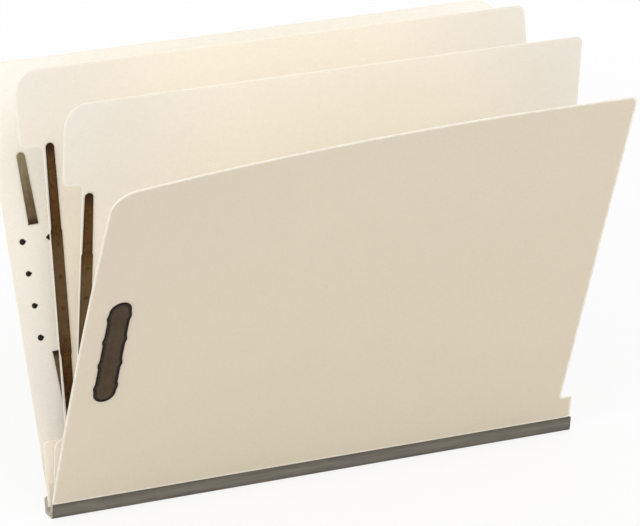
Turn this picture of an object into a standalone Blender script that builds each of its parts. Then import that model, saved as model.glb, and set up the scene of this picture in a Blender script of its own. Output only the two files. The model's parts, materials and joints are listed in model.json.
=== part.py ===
"""Classification folder with two dividers, standing on its cloth spine and fanned open.

Each board is laid out flat, the way it is die cut: x runs along the spine, h runs up the board
from its crease, and n comes out of its front face. A crease empty then leans the board over.
The fasteners are at the -X end, +Y is the back of the folder, and +Z is up.
"""

import math
from typing import NamedTuple

import bmesh
import bpy
from mathutils import Matrix, Vector

# Sizes are in metres and angles in degrees.
MM = 0.001
GAP = 0.0003

SPINE_LENGTH = 0.3116
GUSSET_WALL = 0.0080
GUSSET_MOUTH = 0.0125
GUSSET_FLOOR = 0.0100
GUSSET_CORNER = 0.0014
CLOTH = 0.0005
LAP_CLOTH = 0.0003
LAP_HEIGHT = 0.0125
COVER_CREASE_GAP = 0.0004
DIVIDER_CREASE = 0.0040
DIVIDER_SPREAD = 0.0036

COVER_BOARD = 0.00060
DIVIDER_BOARD = 0.00045
COVER_HEIGHT = 0.2351
DIVIDER_HEIGHT = 0.2368
END_TAB = 0.0101
FOOT_BAND = 0.0165
FOOT_INSET = 0.0012
FOOT_TAPER = 0.0020
BOARD_INSET = 0.0018
FRONT_OVERHANG = 0.0007
REAR_DIVIDER_OVERHANG = 0.0014
BOTTOM_EDGE = 0.0006
PAGE_CORNER = 0.0130
TAB_CORNER = 0.0045
FOOT_CORNER = 0.0025
STEP_CORNER = 0.0015

FRONT_LEAN = 23.5
FRONT_DIVIDER_LEAN = 6.9
REAR_DIVIDER_LEAN = -9.1
BACK_LEAN = -22.4
FRONT_CURL = 3.3
CURL_START = 0.228
FRONT_TRIM_SKEW = 1.0

FRONT_INSET = 0.0148
REAR_INSET = 0.0168
BACK_INSET = 0.0174
BACK_FASTENER_TURN = 1.8
FASTENER_LEVEL = 0.1200
PRONG_SPACING = 0.06985
PRONG_WIDTH = 0.0056
PRONG_TIP_WIDTH = 0.0048
PRONG_METAL = 0.0005
PRONG_RIDGE = 0.0002
RIDGE_RUN = 0.0030
COVER_PRONG = 0.0390
FRONT_DIVIDER_PRONG = 0.0345
REAR_DIVIDER_PRONG = 0.0460

PLATE_MARGIN = 0.0018
PLATE_WIDTH = 0.0127
PLATE_METAL = 0.0008
PLATE_SCALLOP = 0.0007
SCALLOP_POWER = 12
PLATE_EDGE = 0.0003
TEETH_PER_SIDE = 4
TOOTH_ROOT = 0.0006
TOOTH_RADIUS = 0.0005
CLINCH_RADIUS = 0.0015
CLINCH_HEIGHT = 0.0004
CLINCH_SPLAY = 0.0015

BAR_WIDTH = 0.0064
BAR_METAL = 0.0005
POST_RADIUS = 0.0008
NOTCH_MARGIN = 0.0005
FRONT_NOTCH_LENGTH = 0.1490
REAR_NOTCH_LENGTH = 0.1590
NOTCH_CORNER = 0.0035

ARC_STEPS = 6
ROUND_SIDES = 12
CURL_COLUMN = 0.022
CURL_ROW = 0.030

SPINE_END = SPINE_LENGTH / 2
BOARD_EDGE = -SPINE_END + BOARD_INSET
COVER_CREASE = GUSSET_WALL + COVER_CREASE_GAP
COVER_CREASE_Y = GUSSET_MOUTH / 2 - CLOTH / 2
PAGE_EDGE = SPINE_END - END_TAB


class Fastener(NamedTuple):
    """Where a fastener's middle sits on its board, its turn there, and the length of its prongs."""

    x: float
    h: float
    board: float
    prong: float
    turn: float = 0.0

    def matrix(self):
        """Takes the fastener's own frame to the board's."""
        turn = Matrix.Rotation(-math.radians(self.turn), 4, "Y")
        return Matrix.Translation((self.x, 0, self.h)) @ turn

    def on_board(self, loop):
        """A loop of (x, h) points in the fastener's frame, as points of the board."""
        placed = (self.matrix() @ Vector((x, 0, h)) for x, h in loop)
        return [Vector((point.x, point.z)) for point in placed]


def clear_scene():
    for obj in list(bpy.data.objects):
        bpy.data.objects.remove(obj, do_unlink=True)


def linear(channel):
    """One sRGB channel, 0 to 255, as the linear value that a shader takes."""
    share = channel / 255
    return share / 12.92 if share <= 0.04045 else ((share + 0.055) / 1.055) ** 2.4


def finish(name, colour, roughness, metallic=0.0):
    """A Principled material in an sRGB colour."""
    material = bpy.data.materials.new(name)
    material.use_nodes = True
    shader = material.node_tree.nodes["Principled BSDF"]
    shader.inputs["Base Color"].default_value = (*map(linear, colour), 1.0)
    shader.inputs["Roughness"].default_value = roughness
    shader.inputs["Metallic"].default_value = metallic
    return material


def filleted(corners):
    """A closed outline from (x, h, radius) corners, with an arc at each corner that has a radius."""
    points = []
    for i, (x, h, radius) in enumerate(corners):
        here = Vector((x, h))
        if radius <= 0:
            points.append(here)
            continue
        to_last = (Vector(corners[i - 1][:2]) - here).normalized()
        to_next = (Vector(corners[(i + 1) % len(corners)][:2]) - here).normalized()
        half = to_last.angle(to_next) / 2
        middle = here + (to_last + to_next).normalized() * (radius / math.sin(half))
        start = here + to_last * (radius / math.tan(half)) - middle
        sweep = start.angle_signed(here + to_next * (radius / math.tan(half)) - middle)
        for step in range(ARC_STEPS + 1):
            points.append(middle + Matrix.Rotation(-sweep * step / ARC_STEPS, 2) @ start)
    return points


def circle(x, h, radius):
    turns = (2 * math.pi * i / ROUND_SIDES for i in range(ROUND_SIDES))
    return [Vector((x + radius * math.cos(a), h + radius * math.sin(a))) for a in turns]


def rectangle(x, h, width, height):
    sides = ((-1, -1), (1, -1), (1, 1), (-1, 1))
    return [Vector((x + i * width / 2, h + j * height / 2)) for i, j in sides]


def die_cut(outline, low, high, holes=()):
    """A flat solid between the depths low and high, cut to an outline with holes in it."""
    bm = bmesh.new()
    for loop in (outline, *holes):
        verts = [bm.verts.new((x, -low, h)) for x, h in loop]
        for a, b in zip(verts, verts[1:] + verts[:1]):
            bm.edges.new((a, b))
    if holes:
        bmesh.ops.triangle_fill(bm, edges=bm.edges[:], use_beauty=True, normal=(0, -1, 0))
    else:
        bm.faces.new(verts)
    grown = bmesh.ops.extrude_face_region(bm, geom=bm.faces[:])["geom"]
    moved = [part for part in grown if isinstance(part, bmesh.types.BMVert)]
    bmesh.ops.translate(bm, verts=moved, vec=(0, low - high, 0))
    bmesh.ops.recalc_face_normals(bm, faces=bm.faces[:])
    return bm


def slice_up(bm):
    """Cuts a flat solid into columns and rows, so that it can curl."""
    for axis, pitch in ((Vector((1, 0, 0)), CURL_COLUMN), (Vector((0, 0, 1)), CURL_ROW)):
        along = [v.co.dot(axis) for v in bm.verts]
        for i in range(math.ceil(min(along) / pitch), math.ceil(max(along) / pitch)):
            geom = bm.verts[:] + bm.edges[:] + bm.faces[:]
            bmesh.ops.bisect_plane(bm, geom=geom, plane_co=axis * i * pitch, plane_no=axis)


def askew(points):
    """Turns corners in the plane of the front cover, whose edges are a little askew to its crease."""
    turn = Matrix.Rotation(math.radians(FRONT_TRIM_SKEW), 2)
    return [turn @ Vector(point) for point in points]


def curled(point):
    """A point of the front cover, leaned further towards its free top corner, where it curls most."""
    along = (CURL_START - SPINE_END - point.x) / CURL_START
    angle = math.radians(FRONT_CURL) * along**2 * point.z / COVER_HEIGHT
    return Matrix.Rotation(angle, 3, "X") @ point


def move_points(bm, rule):
    """Bends a solid by a rule for its points, in triangles, as its faces don't stay flat."""
    bmesh.ops.triangulate(bm, faces=bm.faces[:])
    for v in bm.verts:
        v.co = rule(v.co)


def add(name, bm, material, parent=None, origin=(0, 0, 0)):
    """An object from a mesh in its parent's frame, with its own origin at the point given."""
    bmesh.ops.translate(bm, verts=bm.verts[:], vec=-Vector(origin))
    mesh = bpy.data.meshes.new(name)
    bm.to_mesh(mesh)
    bm.free()
    mesh.materials.append(material)
    obj = bpy.data.objects.new(name, mesh)
    bpy.context.scene.collection.objects.link(obj)
    obj.location = origin
    obj.parent = parent
    return obj


def joined(solids):
    """The Boolean union of several solids, as one mesh, worked out in millimetres to keep it exact."""
    for bm in solids:
        bmesh.ops.scale(bm, vec=(1 / MM,) * 3, verts=bm.verts[:])
    objects = [add(f"union_{i}", bm, None) for i, bm in enumerate(solids)]
    for other in objects[1:]:
        cut = objects[0].modifiers.new("join", "BOOLEAN")
        cut.operation, cut.solver, cut.object = "UNION", "EXACT", other
    whole = objects[0].evaluated_get(bpy.context.evaluated_depsgraph_get())
    bm = bmesh.new()
    bm.from_mesh(whole.to_mesh())
    whole.to_mesh_clear()
    for obj in objects:
        bpy.data.objects.remove(obj, do_unlink=True)
    bmesh.ops.scale(bm, vec=(MM,) * 3, verts=bm.verts[:])
    return bm


def crease(name, y, z, lean):
    """The empty on a board's crease, leaned towards the viewer by an angle."""
    empty = bpy.data.objects.new(name, None)
    bpy.context.scene.collection.objects.link(empty)
    empty.location = (0, y, z)
    empty.rotation_euler = (math.radians(lean), 0, 0)
    return empty


def run_along_spine(profile):
    """A solid of a closed (y, z) profile, along the whole spine."""
    bm = bmesh.new()
    face = bm.faces.new([bm.verts.new((-SPINE_END, y, z)) for y, z in profile])
    grown = bmesh.ops.extrude_face_region(bm, geom=[face])["geom"]
    moved = [part for part in grown if isinstance(part, bmesh.types.BMVert)]
    bmesh.ops.translate(bm, verts=moved, vec=(SPINE_LENGTH, 0, 0))
    bmesh.ops.recalc_face_normals(bm, faces=bm.faces[:])
    return bm


def gusset_profile():
    """The folded cloth strip seen from its end: a flat floor and two walls that open a little."""
    mouth, floor = GUSSET_MOUTH / 2, GUSSET_FLOOR / 2
    inner = GUSSET_CORNER - CLOTH
    return filleted(
        [
            (-mouth, GUSSET_WALL, 0),
            (-floor, 0, GUSSET_CORNER),
            (floor, 0, GUSSET_CORNER),
            (mouth, GUSSET_WALL, 0),
            (mouth - CLOTH, GUSSET_WALL, 0),
            (floor - CLOTH, CLOTH, inner),
            (CLOTH - floor, CLOTH, inner),
            (CLOTH - mouth, GUSSET_WALL, 0),
        ]
    )


def divider_foot_profile(side):
    """The angle of tape under one divider: a foot on the gusset's floor and a lip up to the crease."""
    lip, base = DIVIDER_SPREAD / 2 - LAP_CLOTH / 2, CLOTH + GAP
    reach = GUSSET_FLOOR / 2 - GUSSET_CORNER
    top = DIVIDER_CREASE - GAP
    corners = (
        (lip, base),
        (reach, base),
        (reach, base + LAP_CLOTH),
        (lip + LAP_CLOTH, base + LAP_CLOTH),
        (lip + LAP_CLOTH, top),
        (lip, top),
    )
    return [Vector((side * y, z)) for y, z in corners]


def lap(board, face, right):
    """The strip of cloth glued along the foot of a board, on its face on that side of n."""
    near = board / 2 + GAP
    depths = sorted((face * near, face * (near + LAP_CLOTH)))
    middle, width = (BOARD_EDGE + right) / 2, right - BOARD_EDGE
    outline = rectangle(middle, BOTTOM_EDGE + LAP_HEIGHT / 2, width, LAP_HEIGHT)
    return die_cut(outline, *depths)


def front_cover_outline():
    """Cut back by the depth of the end tab, except in the band along its foot."""
    left, right = -SPINE_END - FRONT_OVERHANG, SPINE_END - FOOT_INSET
    band = BOTTOM_EDGE + FOOT_BAND
    foot, page, corner = askew([(PAGE_EDGE, band), (PAGE_EDGE, COVER_HEIGHT), (left, COVER_HEIGHT)])
    return filleted(
        [
            (left, BOTTOM_EDGE, FOOT_CORNER),
            (right, BOTTOM_EDGE, STEP_CORNER),
            (right - FOOT_TAPER, band, STEP_CORNER),
            (foot.x, band, STEP_CORNER),
            (*page, TAB_CORNER),
            (*corner, PAGE_CORNER),
        ]
    )


def back_cover_outline():
    """The full length, so that the end tab stands past the other boards."""
    return filleted(
        [
            (BOARD_EDGE, BOTTOM_EDGE, 0),
            (SPINE_END, BOTTOM_EDGE, 0),
            (SPINE_END, COVER_HEIGHT, PAGE_CORNER),
            (BOARD_EDGE, COVER_HEIGHT, PAGE_CORNER),
        ]
    )


def divider_outline(fastener, edge, notch):
    """Notched beside the fasteners, so that a thumb can get behind the prongs."""
    inner = fastener.x - BAR_WIDTH / 2 - NOTCH_MARGIN
    low, high = fastener.h - notch / 2, fastener.h + notch / 2
    return filleted(
        [
            (edge, BOTTOM_EDGE, 0),
            (PAGE_EDGE, BOTTOM_EDGE, 0),
            (PAGE_EDGE, DIVIDER_HEIGHT, TAB_CORNER),
            (edge, DIVIDER_HEIGHT, PAGE_CORNER),
            (edge, high, NOTCH_CORNER),
            (inner, high, NOTCH_CORNER),
            (inner, low, NOTCH_CORNER),
            (edge, low, NOTCH_CORNER),
        ]
    )


def along_fastener():
    """Heights of a row of teeth or posts, spread evenly between the prongs."""
    pitch = PRONG_SPACING / TEETH_PER_SIDE
    return [pitch * (i - (TEETH_PER_SIDE - 1) / 2) for i in range(TEETH_PER_SIDE)]


def tooth_places():
    """(x, h, side) of each tooth where it goes through the cover."""
    reach = PLATE_WIDTH / 2 - TOOTH_ROOT + PLATE_SCALLOP
    return [(side * reach, h, side) for side in (-1, 1) for h in along_fastener()]


def cover_holes(fastener):
    """The holes for the plate's teeth and the slots for the prongs."""
    slot = (PRONG_WIDTH + 2 * GAP, PRONG_METAL + 2 * GAP)
    holes = [circle(x, h, TOOTH_RADIUS + GAP) for x, h, _ in tooth_places()]
    slots = [rectangle(0, side * PRONG_SPACING / 2, *slot) for side in (-1, 1)]
    return [fastener.on_board(loop) for loop in holes + slots]


def plate_outline():
    """A long plate with round ends, whose sides swell at each tooth."""
    half = PRONG_SPACING / 2 + PLATE_MARGIN
    pitch = PRONG_SPACING / TEETH_PER_SIDE
    phase = along_fastener()[0]
    stations = TEETH_PER_SIDE * 4 * ARC_STEPS
    right = []
    for i in range(stations + 1):
        h = -half * math.cos(math.pi * i / stations)
        at_tooth = math.cos(math.pi * (h - phase) / pitch) ** SCALLOP_POWER
        swell = PLATE_WIDTH / 2 + PLATE_SCALLOP * at_tooth
        to_end = half - abs(h)
        if to_end < swell:
            swell *= math.sqrt(1 - (1 - to_end / swell) ** 2)
        right.append((swell, h))
    left = [(-x, h) for x, h in reversed(right[1:-1])]
    return [Vector(point) for point in right + left]


def flipped(bm, face):
    """A solid made on a board's front face, mirrored to the rear face if that is the one asked for."""
    if face < 0:
        bmesh.ops.scale(bm, vec=(1, -1, 1), verts=bm.verts[:])
        bmesh.ops.reverse_faces(bm, faces=bm.faces[:])
    return bm


def fastener_plate(fastener, face):
    """The plate on a cover's outer face, with its clinched teeth and the legs of the prongs."""
    near = fastener.board / 2 + GAP
    into_plate = near + PLATE_METAL / 2
    plate = die_cut(plate_outline(), near, near + PLATE_METAL)
    upper = [e for e in plate.edges if all(-v.co.y > into_plate for v in e.verts)]
    bmesh.ops.bevel(plate, geom=upper, offset=PLATE_EDGE, segments=2, affect="EDGES", profile=0.5)
    solids = [plate]
    for x, h, side in tooth_places():
        splayed = x + side * CLINCH_SPLAY
        solids.append(die_cut(circle(x, h, TOOTH_RADIUS), -near - CLINCH_HEIGHT / 2, into_plate))
        solids.append(die_cut(circle(splayed, h, CLINCH_RADIUS), -near - CLINCH_HEIGHT, -near))
    for side in (-1, 1):
        leg = rectangle(0, side * PRONG_SPACING / 2, PRONG_WIDTH, PRONG_METAL)
        solids.append(die_cut(leg, -fastener.board / 2, into_plate))
    whole = flipped(joined(solids), face)
    whole.transform(fastener.matrix())
    return whole


def fastener_bar(fastener, face):
    """The bar between a divider's folds. The front one's posts go through the board."""
    near = fastener.board / 2 + GAP
    length = PRONG_SPACING - 2 * PRONG_METAL
    solids = [die_cut(rectangle(0, 0, BAR_WIDTH, length), near, near + BAR_METAL)]
    if face > 0:
        for h in along_fastener():
            post = circle(0, h, POST_RADIUS)
            solids.append(die_cut(post, -fastener.board / 2, near + BAR_METAL / 2))
    whole = flipped(joined(solids), face)
    whole.transform(fastener.matrix())
    return whole


def prong_blade(fastener, side):
    """A flat prong that lies on its board, with a round tip and a low ridge that starts past its root."""
    near = fastener.board / 2 + GAP
    tip = PRONG_TIP_WIDTH / 2
    sections = [(0, PRONG_WIDTH / 2), (RIDGE_RUN, PRONG_WIDTH / 2), (fastener.prong - tip, tip)]
    for step in range(1, ARC_STEPS):
        a = math.pi / 2 * step / ARC_STEPS
        sections.append((fastener.prong - tip + tip * math.sin(a), tip * math.cos(a)))
    bm = bmesh.new()
    rings = []
    for s, half in sections:
        top = near + PRONG_METAL
        crown = top + PRONG_RIDGE * min(s / RIDGE_RUN, half / (PRONG_WIDTH / 2))
        ring = ((-half, near), (half, near), (half, top), (0, crown), (-half, top))
        h = side * (PRONG_SPACING / 2 + s)
        rings.append([bm.verts.new((x, -n, h)) for x, n in ring])
    for a, b in zip(rings, rings[1:]):
        for i in range(len(a)):
            j = (i + 1) % len(a)
            bm.faces.new((a[i], a[j], b[j], b[i]))
    bm.faces.new(rings[0])
    bm.faces.new(rings[-1])
    bmesh.ops.recalc_face_normals(bm, faces=bm.faces[:])
    return bm


def add_prongs(prefix, parent, material, fastener, face, rule=None):
    """A fastener's two prongs on one face of its board, each with its origin on its fold."""
    for side, place in ((1, "upper"), (-1, "lower")):
        blade = flipped(prong_blade(fastener, side), face)
        fold_depth = fastener.board / 2 + GAP + PRONG_METAL / 2
        fold = fastener.matrix() @ Vector((0, -face * fold_depth, side * PRONG_SPACING / 2))
        blade.transform(fastener.matrix())
        if rule:
            move_points(blade, rule)
            fold = rule(fold)
        add(f"{prefix}_{place}_prong", blade, material, parent, fold)


def build_spine(cloth, tape):
    add("spine_gusset", run_along_spine(gusset_profile()), cloth)
    add("front_divider_foot", run_along_spine(divider_foot_profile(-1)), tape)
    add("rear_divider_foot", run_along_spine(divider_foot_profile(1)), tape)


def build_front_cover(board, cloth, metal):
    pivot = crease("front_cover_crease", -COVER_CREASE_Y, COVER_CREASE, FRONT_LEAN)
    level = FASTENER_LEVEL - COVER_CREASE
    inset = BOARD_EDGE + FRONT_INSET
    fastener = Fastener(inset, level, COVER_BOARD, COVER_PRONG, FRONT_TRIM_SKEW)
    depths = -COVER_BOARD / 2, COVER_BOARD / 2
    cover = die_cut(front_cover_outline(), *depths, cover_holes(fastener))
    inner_lap = lap(COVER_BOARD, -1, SPINE_END - FOOT_INSET - FOOT_TAPER)
    for bm in (cover, inner_lap):
        slice_up(bm)
    plate = fastener_plate(fastener, 1)
    for bm in (cover, inner_lap, plate):
        move_points(bm, curled)
    add("front_cover", cover, board, pivot)
    add("front_gusset_lap", inner_lap, cloth, pivot)
    add("front_fastener_plate", plate, metal, pivot)
    add_prongs("front_cover", pivot, metal, fastener, -1, curled)


def build_back_cover(board, cloth, metal):
    pivot = crease("back_cover_crease", COVER_CREASE_Y, COVER_CREASE, BACK_LEAN)
    inset, level = BOARD_EDGE + BACK_INSET, FASTENER_LEVEL - COVER_CREASE
    fastener = Fastener(inset, level, COVER_BOARD, COVER_PRONG, BACK_FASTENER_TURN)
    depths = -COVER_BOARD / 2, COVER_BOARD / 2
    cover = die_cut(back_cover_outline(), *depths, cover_holes(fastener))
    add("back_cover", cover, board, pivot)
    add("back_gusset_lap", lap(COVER_BOARD, 1, SPINE_END), cloth, pivot)
    add("back_fastener_plate", fastener_plate(fastener, -1), metal, pivot)
    add_prongs("back_cover", pivot, metal, fastener, 1)


def build_divider(name, side, lean, edge, inset, notch, prong, board, tape, metal):
    """One divider with a fastener on each face. Side is -1 for the front one, 1 for the rear one."""
    pivot = crease(f"{name}_crease", side * DIVIDER_SPREAD / 2, DIVIDER_CREASE, lean)
    level = FASTENER_LEVEL - DIVIDER_CREASE
    fastener = Fastener(edge + inset, level, DIVIDER_BOARD, prong)
    depths = -DIVIDER_BOARD / 2, DIVIDER_BOARD / 2
    holes = [circle(0, h, POST_RADIUS + GAP) for h in along_fastener()]
    holes = [fastener.on_board(hole) for hole in holes]
    add(name, die_cut(divider_outline(fastener, edge, notch), *depths, holes), board, pivot)
    add(f"{name}_lap", lap(DIVIDER_BOARD, side, PAGE_EDGE), tape, pivot)
    for face, place in ((1, "front"), (-1, "rear")):
        add(f"{name}_{place}_bar", fastener_bar(fastener, face), metal, pivot)
        add_prongs(f"{name}_{place}", pivot, metal, fastener, face)


def main():
    clear_scene()
    cover_board = finish("cover_board", (226, 213, 190), 0.75)
    divider_board = finish("divider_board", (238, 226, 206), 0.78)
    cloth = finish("gusset_cloth", (106, 101, 93), 0.85)
    tape = finish("divider_tape", (222, 214, 200), 0.8)
    metal = finish("bronzed_steel", (78, 62, 44), 0.42, 0.6)
    build_spine(cloth, tape)
    build_front_cover(cover_board, cloth, metal)
    finishes = divider_board, tape, metal
    rear_edge = BOARD_EDGE - REAR_DIVIDER_OVERHANG
    front = FRONT_DIVIDER_LEAN, BOARD_EDGE, FRONT_INSET, FRONT_NOTCH_LENGTH, FRONT_DIVIDER_PRONG
    rear = REAR_DIVIDER_LEAN, rear_edge, REAR_INSET, REAR_NOTCH_LENGTH, REAR_DIVIDER_PRONG
    build_divider("front_divider", -1, *front, *finishes)
    build_divider("rear_divider", 1, *rear, *finishes)
    build_back_cover(cover_board, cloth, metal)


main()
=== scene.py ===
"""Looks of an end-tab classification folder that stands fanned open on its cloth spine.

Every board is laid out flat, the way it is die cut, and then leaned about its crease. Flat places
are x along the spine, y through the board (its front face has y < 0) and h up the board from the
crease. Lengths are in metres and angles in degrees.
"""

import json
import logging
import math
from dataclasses import dataclass, replace
from enum import Enum
from functools import cache
from typing import Sequence

import bmesh
import bpy
import numpy as np
from mathutils import Matrix, Vector

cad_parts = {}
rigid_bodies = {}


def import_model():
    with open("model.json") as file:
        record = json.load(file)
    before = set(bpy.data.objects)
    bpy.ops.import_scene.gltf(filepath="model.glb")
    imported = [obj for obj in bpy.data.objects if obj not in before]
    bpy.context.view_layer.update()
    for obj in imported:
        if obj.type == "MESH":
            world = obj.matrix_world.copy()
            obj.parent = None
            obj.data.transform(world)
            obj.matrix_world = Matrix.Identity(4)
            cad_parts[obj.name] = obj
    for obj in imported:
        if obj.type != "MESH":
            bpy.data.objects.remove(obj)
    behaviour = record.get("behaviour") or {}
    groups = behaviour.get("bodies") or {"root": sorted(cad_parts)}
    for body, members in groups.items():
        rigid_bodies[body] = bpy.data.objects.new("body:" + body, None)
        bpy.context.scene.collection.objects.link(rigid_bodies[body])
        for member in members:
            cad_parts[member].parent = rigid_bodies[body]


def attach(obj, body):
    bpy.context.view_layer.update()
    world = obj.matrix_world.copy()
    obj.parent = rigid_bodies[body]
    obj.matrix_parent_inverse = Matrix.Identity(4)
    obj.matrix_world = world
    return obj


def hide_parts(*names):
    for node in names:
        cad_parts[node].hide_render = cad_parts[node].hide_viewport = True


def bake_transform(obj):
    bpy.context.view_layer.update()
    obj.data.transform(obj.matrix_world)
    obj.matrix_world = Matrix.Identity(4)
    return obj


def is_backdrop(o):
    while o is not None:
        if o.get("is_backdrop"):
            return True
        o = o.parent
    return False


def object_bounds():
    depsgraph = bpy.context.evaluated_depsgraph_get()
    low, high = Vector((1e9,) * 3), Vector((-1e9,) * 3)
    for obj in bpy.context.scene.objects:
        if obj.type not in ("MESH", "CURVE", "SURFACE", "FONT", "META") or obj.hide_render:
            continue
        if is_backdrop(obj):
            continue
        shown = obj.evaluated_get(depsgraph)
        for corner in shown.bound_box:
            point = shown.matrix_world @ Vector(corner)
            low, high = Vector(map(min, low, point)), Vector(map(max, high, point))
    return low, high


for leftover in list(bpy.data.objects):
    bpy.data.objects.remove(leftover, do_unlink=True)
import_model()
CAD_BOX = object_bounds()
LOG = logging.getLogger("folder")

Rgb = tuple[int, int, int]
Pair = tuple[float, float]
Triple = tuple[float, float, float]
Steps = tuple[float, ...]
Socket = bpy.types.NodeSocket
Feeds = dict[str | int, object]
Shape = tuple[np.ndarray, np.ndarray]
WHITE = (1.0, 1.0, 1.0, 1.0)
HOLE_SIDES = 20


class Side(Enum):
    """One of two opposite sides, with the sign of the way to it."""

    @property
    def word(self) -> str:
        """Its word in names."""
        return self.name.lower()

    @property
    def other(self) -> "Side":
        """The side across from it."""
        return type(self)(-self.value)


class Face(Side):
    """A board's two faces, by the sign of the depth that comes out of them."""

    FRONT = -1.0
    REAR = 1.0


class End(Side):
    """A fastener's two ends, by the sign of their height from its middle."""

    UPPER = 1
    LOWER = -1


class Slot(Enum):
    """The record's material slots."""

    COVER = "cover_board"
    DIVIDER = "divider_board"
    CLOTH = "gusset_cloth"
    TAPE = "divider_tape"
    STEEL = "bronzed_steel"


@dataclass(frozen=True)
class FolderSizes:
    """Sizes that several sub-assemblies share."""

    spine_length: float = 0.3116
    board_inset: float = 0.0018
    end_tab: float = 0.0101
    cover_height: float = 0.2351
    bottom_edge: float = 0.0006
    page_corner: float = 0.0130
    tab_corner: float = 0.0045
    cover_board: float = 0.00060
    divider_board: float = 0.00045
    fastener_level: float = 0.1200
    prong_spacing: float = 0.06985
    prong_width: float = 0.0056
    prong_metal: float = 0.0005
    bar_width: float = 0.0064
    edge_tone: float = 0.0008
    teeth_per_side: int = 4
    curl_start: float = 0.228
    gap: float = 0.0003

    @property
    def spine_end(self) -> float:
        """Half of the spine's length."""
        return self.spine_length / 2

    @property
    def board_edge(self) -> float:
        """The x of the boards' edge beside the fasteners."""
        return self.board_inset - self.spine_end

    @property
    def page_edge(self) -> float:
        """The x at which the boards without a tab end."""
        return self.spine_end - self.end_tab

    @property
    def tooth_pitch(self) -> float:
        """The distance between the teeth or posts of a fastener."""
        return self.prong_spacing / self.teeth_per_side

    @property
    def tooth_levels(self) -> np.ndarray:
        """Heights of a row of teeth or posts, spread evenly between the prongs."""
        return self.tooth_pitch * (np.arange(self.teeth_per_side) - (self.teeth_per_side - 1) / 2)


SIZE = FolderSizes()


def linear(rgb: Rgb) -> tuple[float, float, float, float]:
    """A screen colour as linear light.

    Args:
        rgb: Red, green and blue from 0 to 255.

    Returns:
        Linear red, green and blue, and a full alpha.
    """
    shares = [c / 255 for c in rgb]
    light = [s / 12.92 if s <= 0.04045 else ((s + 0.055) / 1.055) ** 2.4 for s in shares]
    return (*light, 1.0)


@dataclass(frozen=True)
class Grain:
    """A pattern of noise or spots.

    It has so many cells to a metre, along x, y and z if they differ. A finish shows the part of it
    between two values, spread over the range that it gives.
    """

    cells: float | Triple
    detail: float = 2.0
    rough: float = 0.5
    turn: Triple = (0.0, 0.0, 0.0)
    shows: Pair = (0.3, 0.7)
    gives: Pair = (0.0, 1.0)


@dataclass(frozen=True)
class Tint:
    """A linear colour that multiplies what is under it, and how much of it is laid on."""

    share: float
    colour: Triple


class NodeSheet:
    """A node tree, written as short calls that return sockets."""

    def __init__(self, tree: bpy.types.NodeTree) -> None:
        """Empties a tree to write on."""
        self.tree = tree
        tree.nodes.clear()

    def node(self, kind: str, feeds: Feeds, **settings: object) -> bpy.types.NodeOutputs:
        """Adds one node.

        Args:
            kind: The node's type.
            feeds: A constant or a socket for each input, by name or number.
            **settings: The node's own properties.

        Returns:
            The new node's outputs.
        """
        made = self.tree.nodes.new(kind)
        for key, value in settings.items():
            setattr(made, key, value)
        for key, value in feeds.items():
            if isinstance(value, Socket):
                self.tree.links.new(value, made.inputs[key])
            else:
                made.inputs[key].default_value = value
        return made.outputs

    def math(self, operation: str, *values: Socket | float) -> Socket:
        """One sum of up to three values."""
        return self.node("ShaderNodeMath", dict(enumerate(values)), operation=operation)[0]

    def seen(self) -> Socket:
        """The share of rays that come from the camera, a reflection or glass.

        Returns:
            1 for those rays, and 0 for the others.
        """
        rays = self.node("ShaderNodeLightPath", {})
        direct = self.math("MAXIMUM", rays["Is Camera Ray"], rays["Is Glossy Ray"])
        return self.math("MAXIMUM", direct, rays["Is Transmission Ray"])


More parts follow.
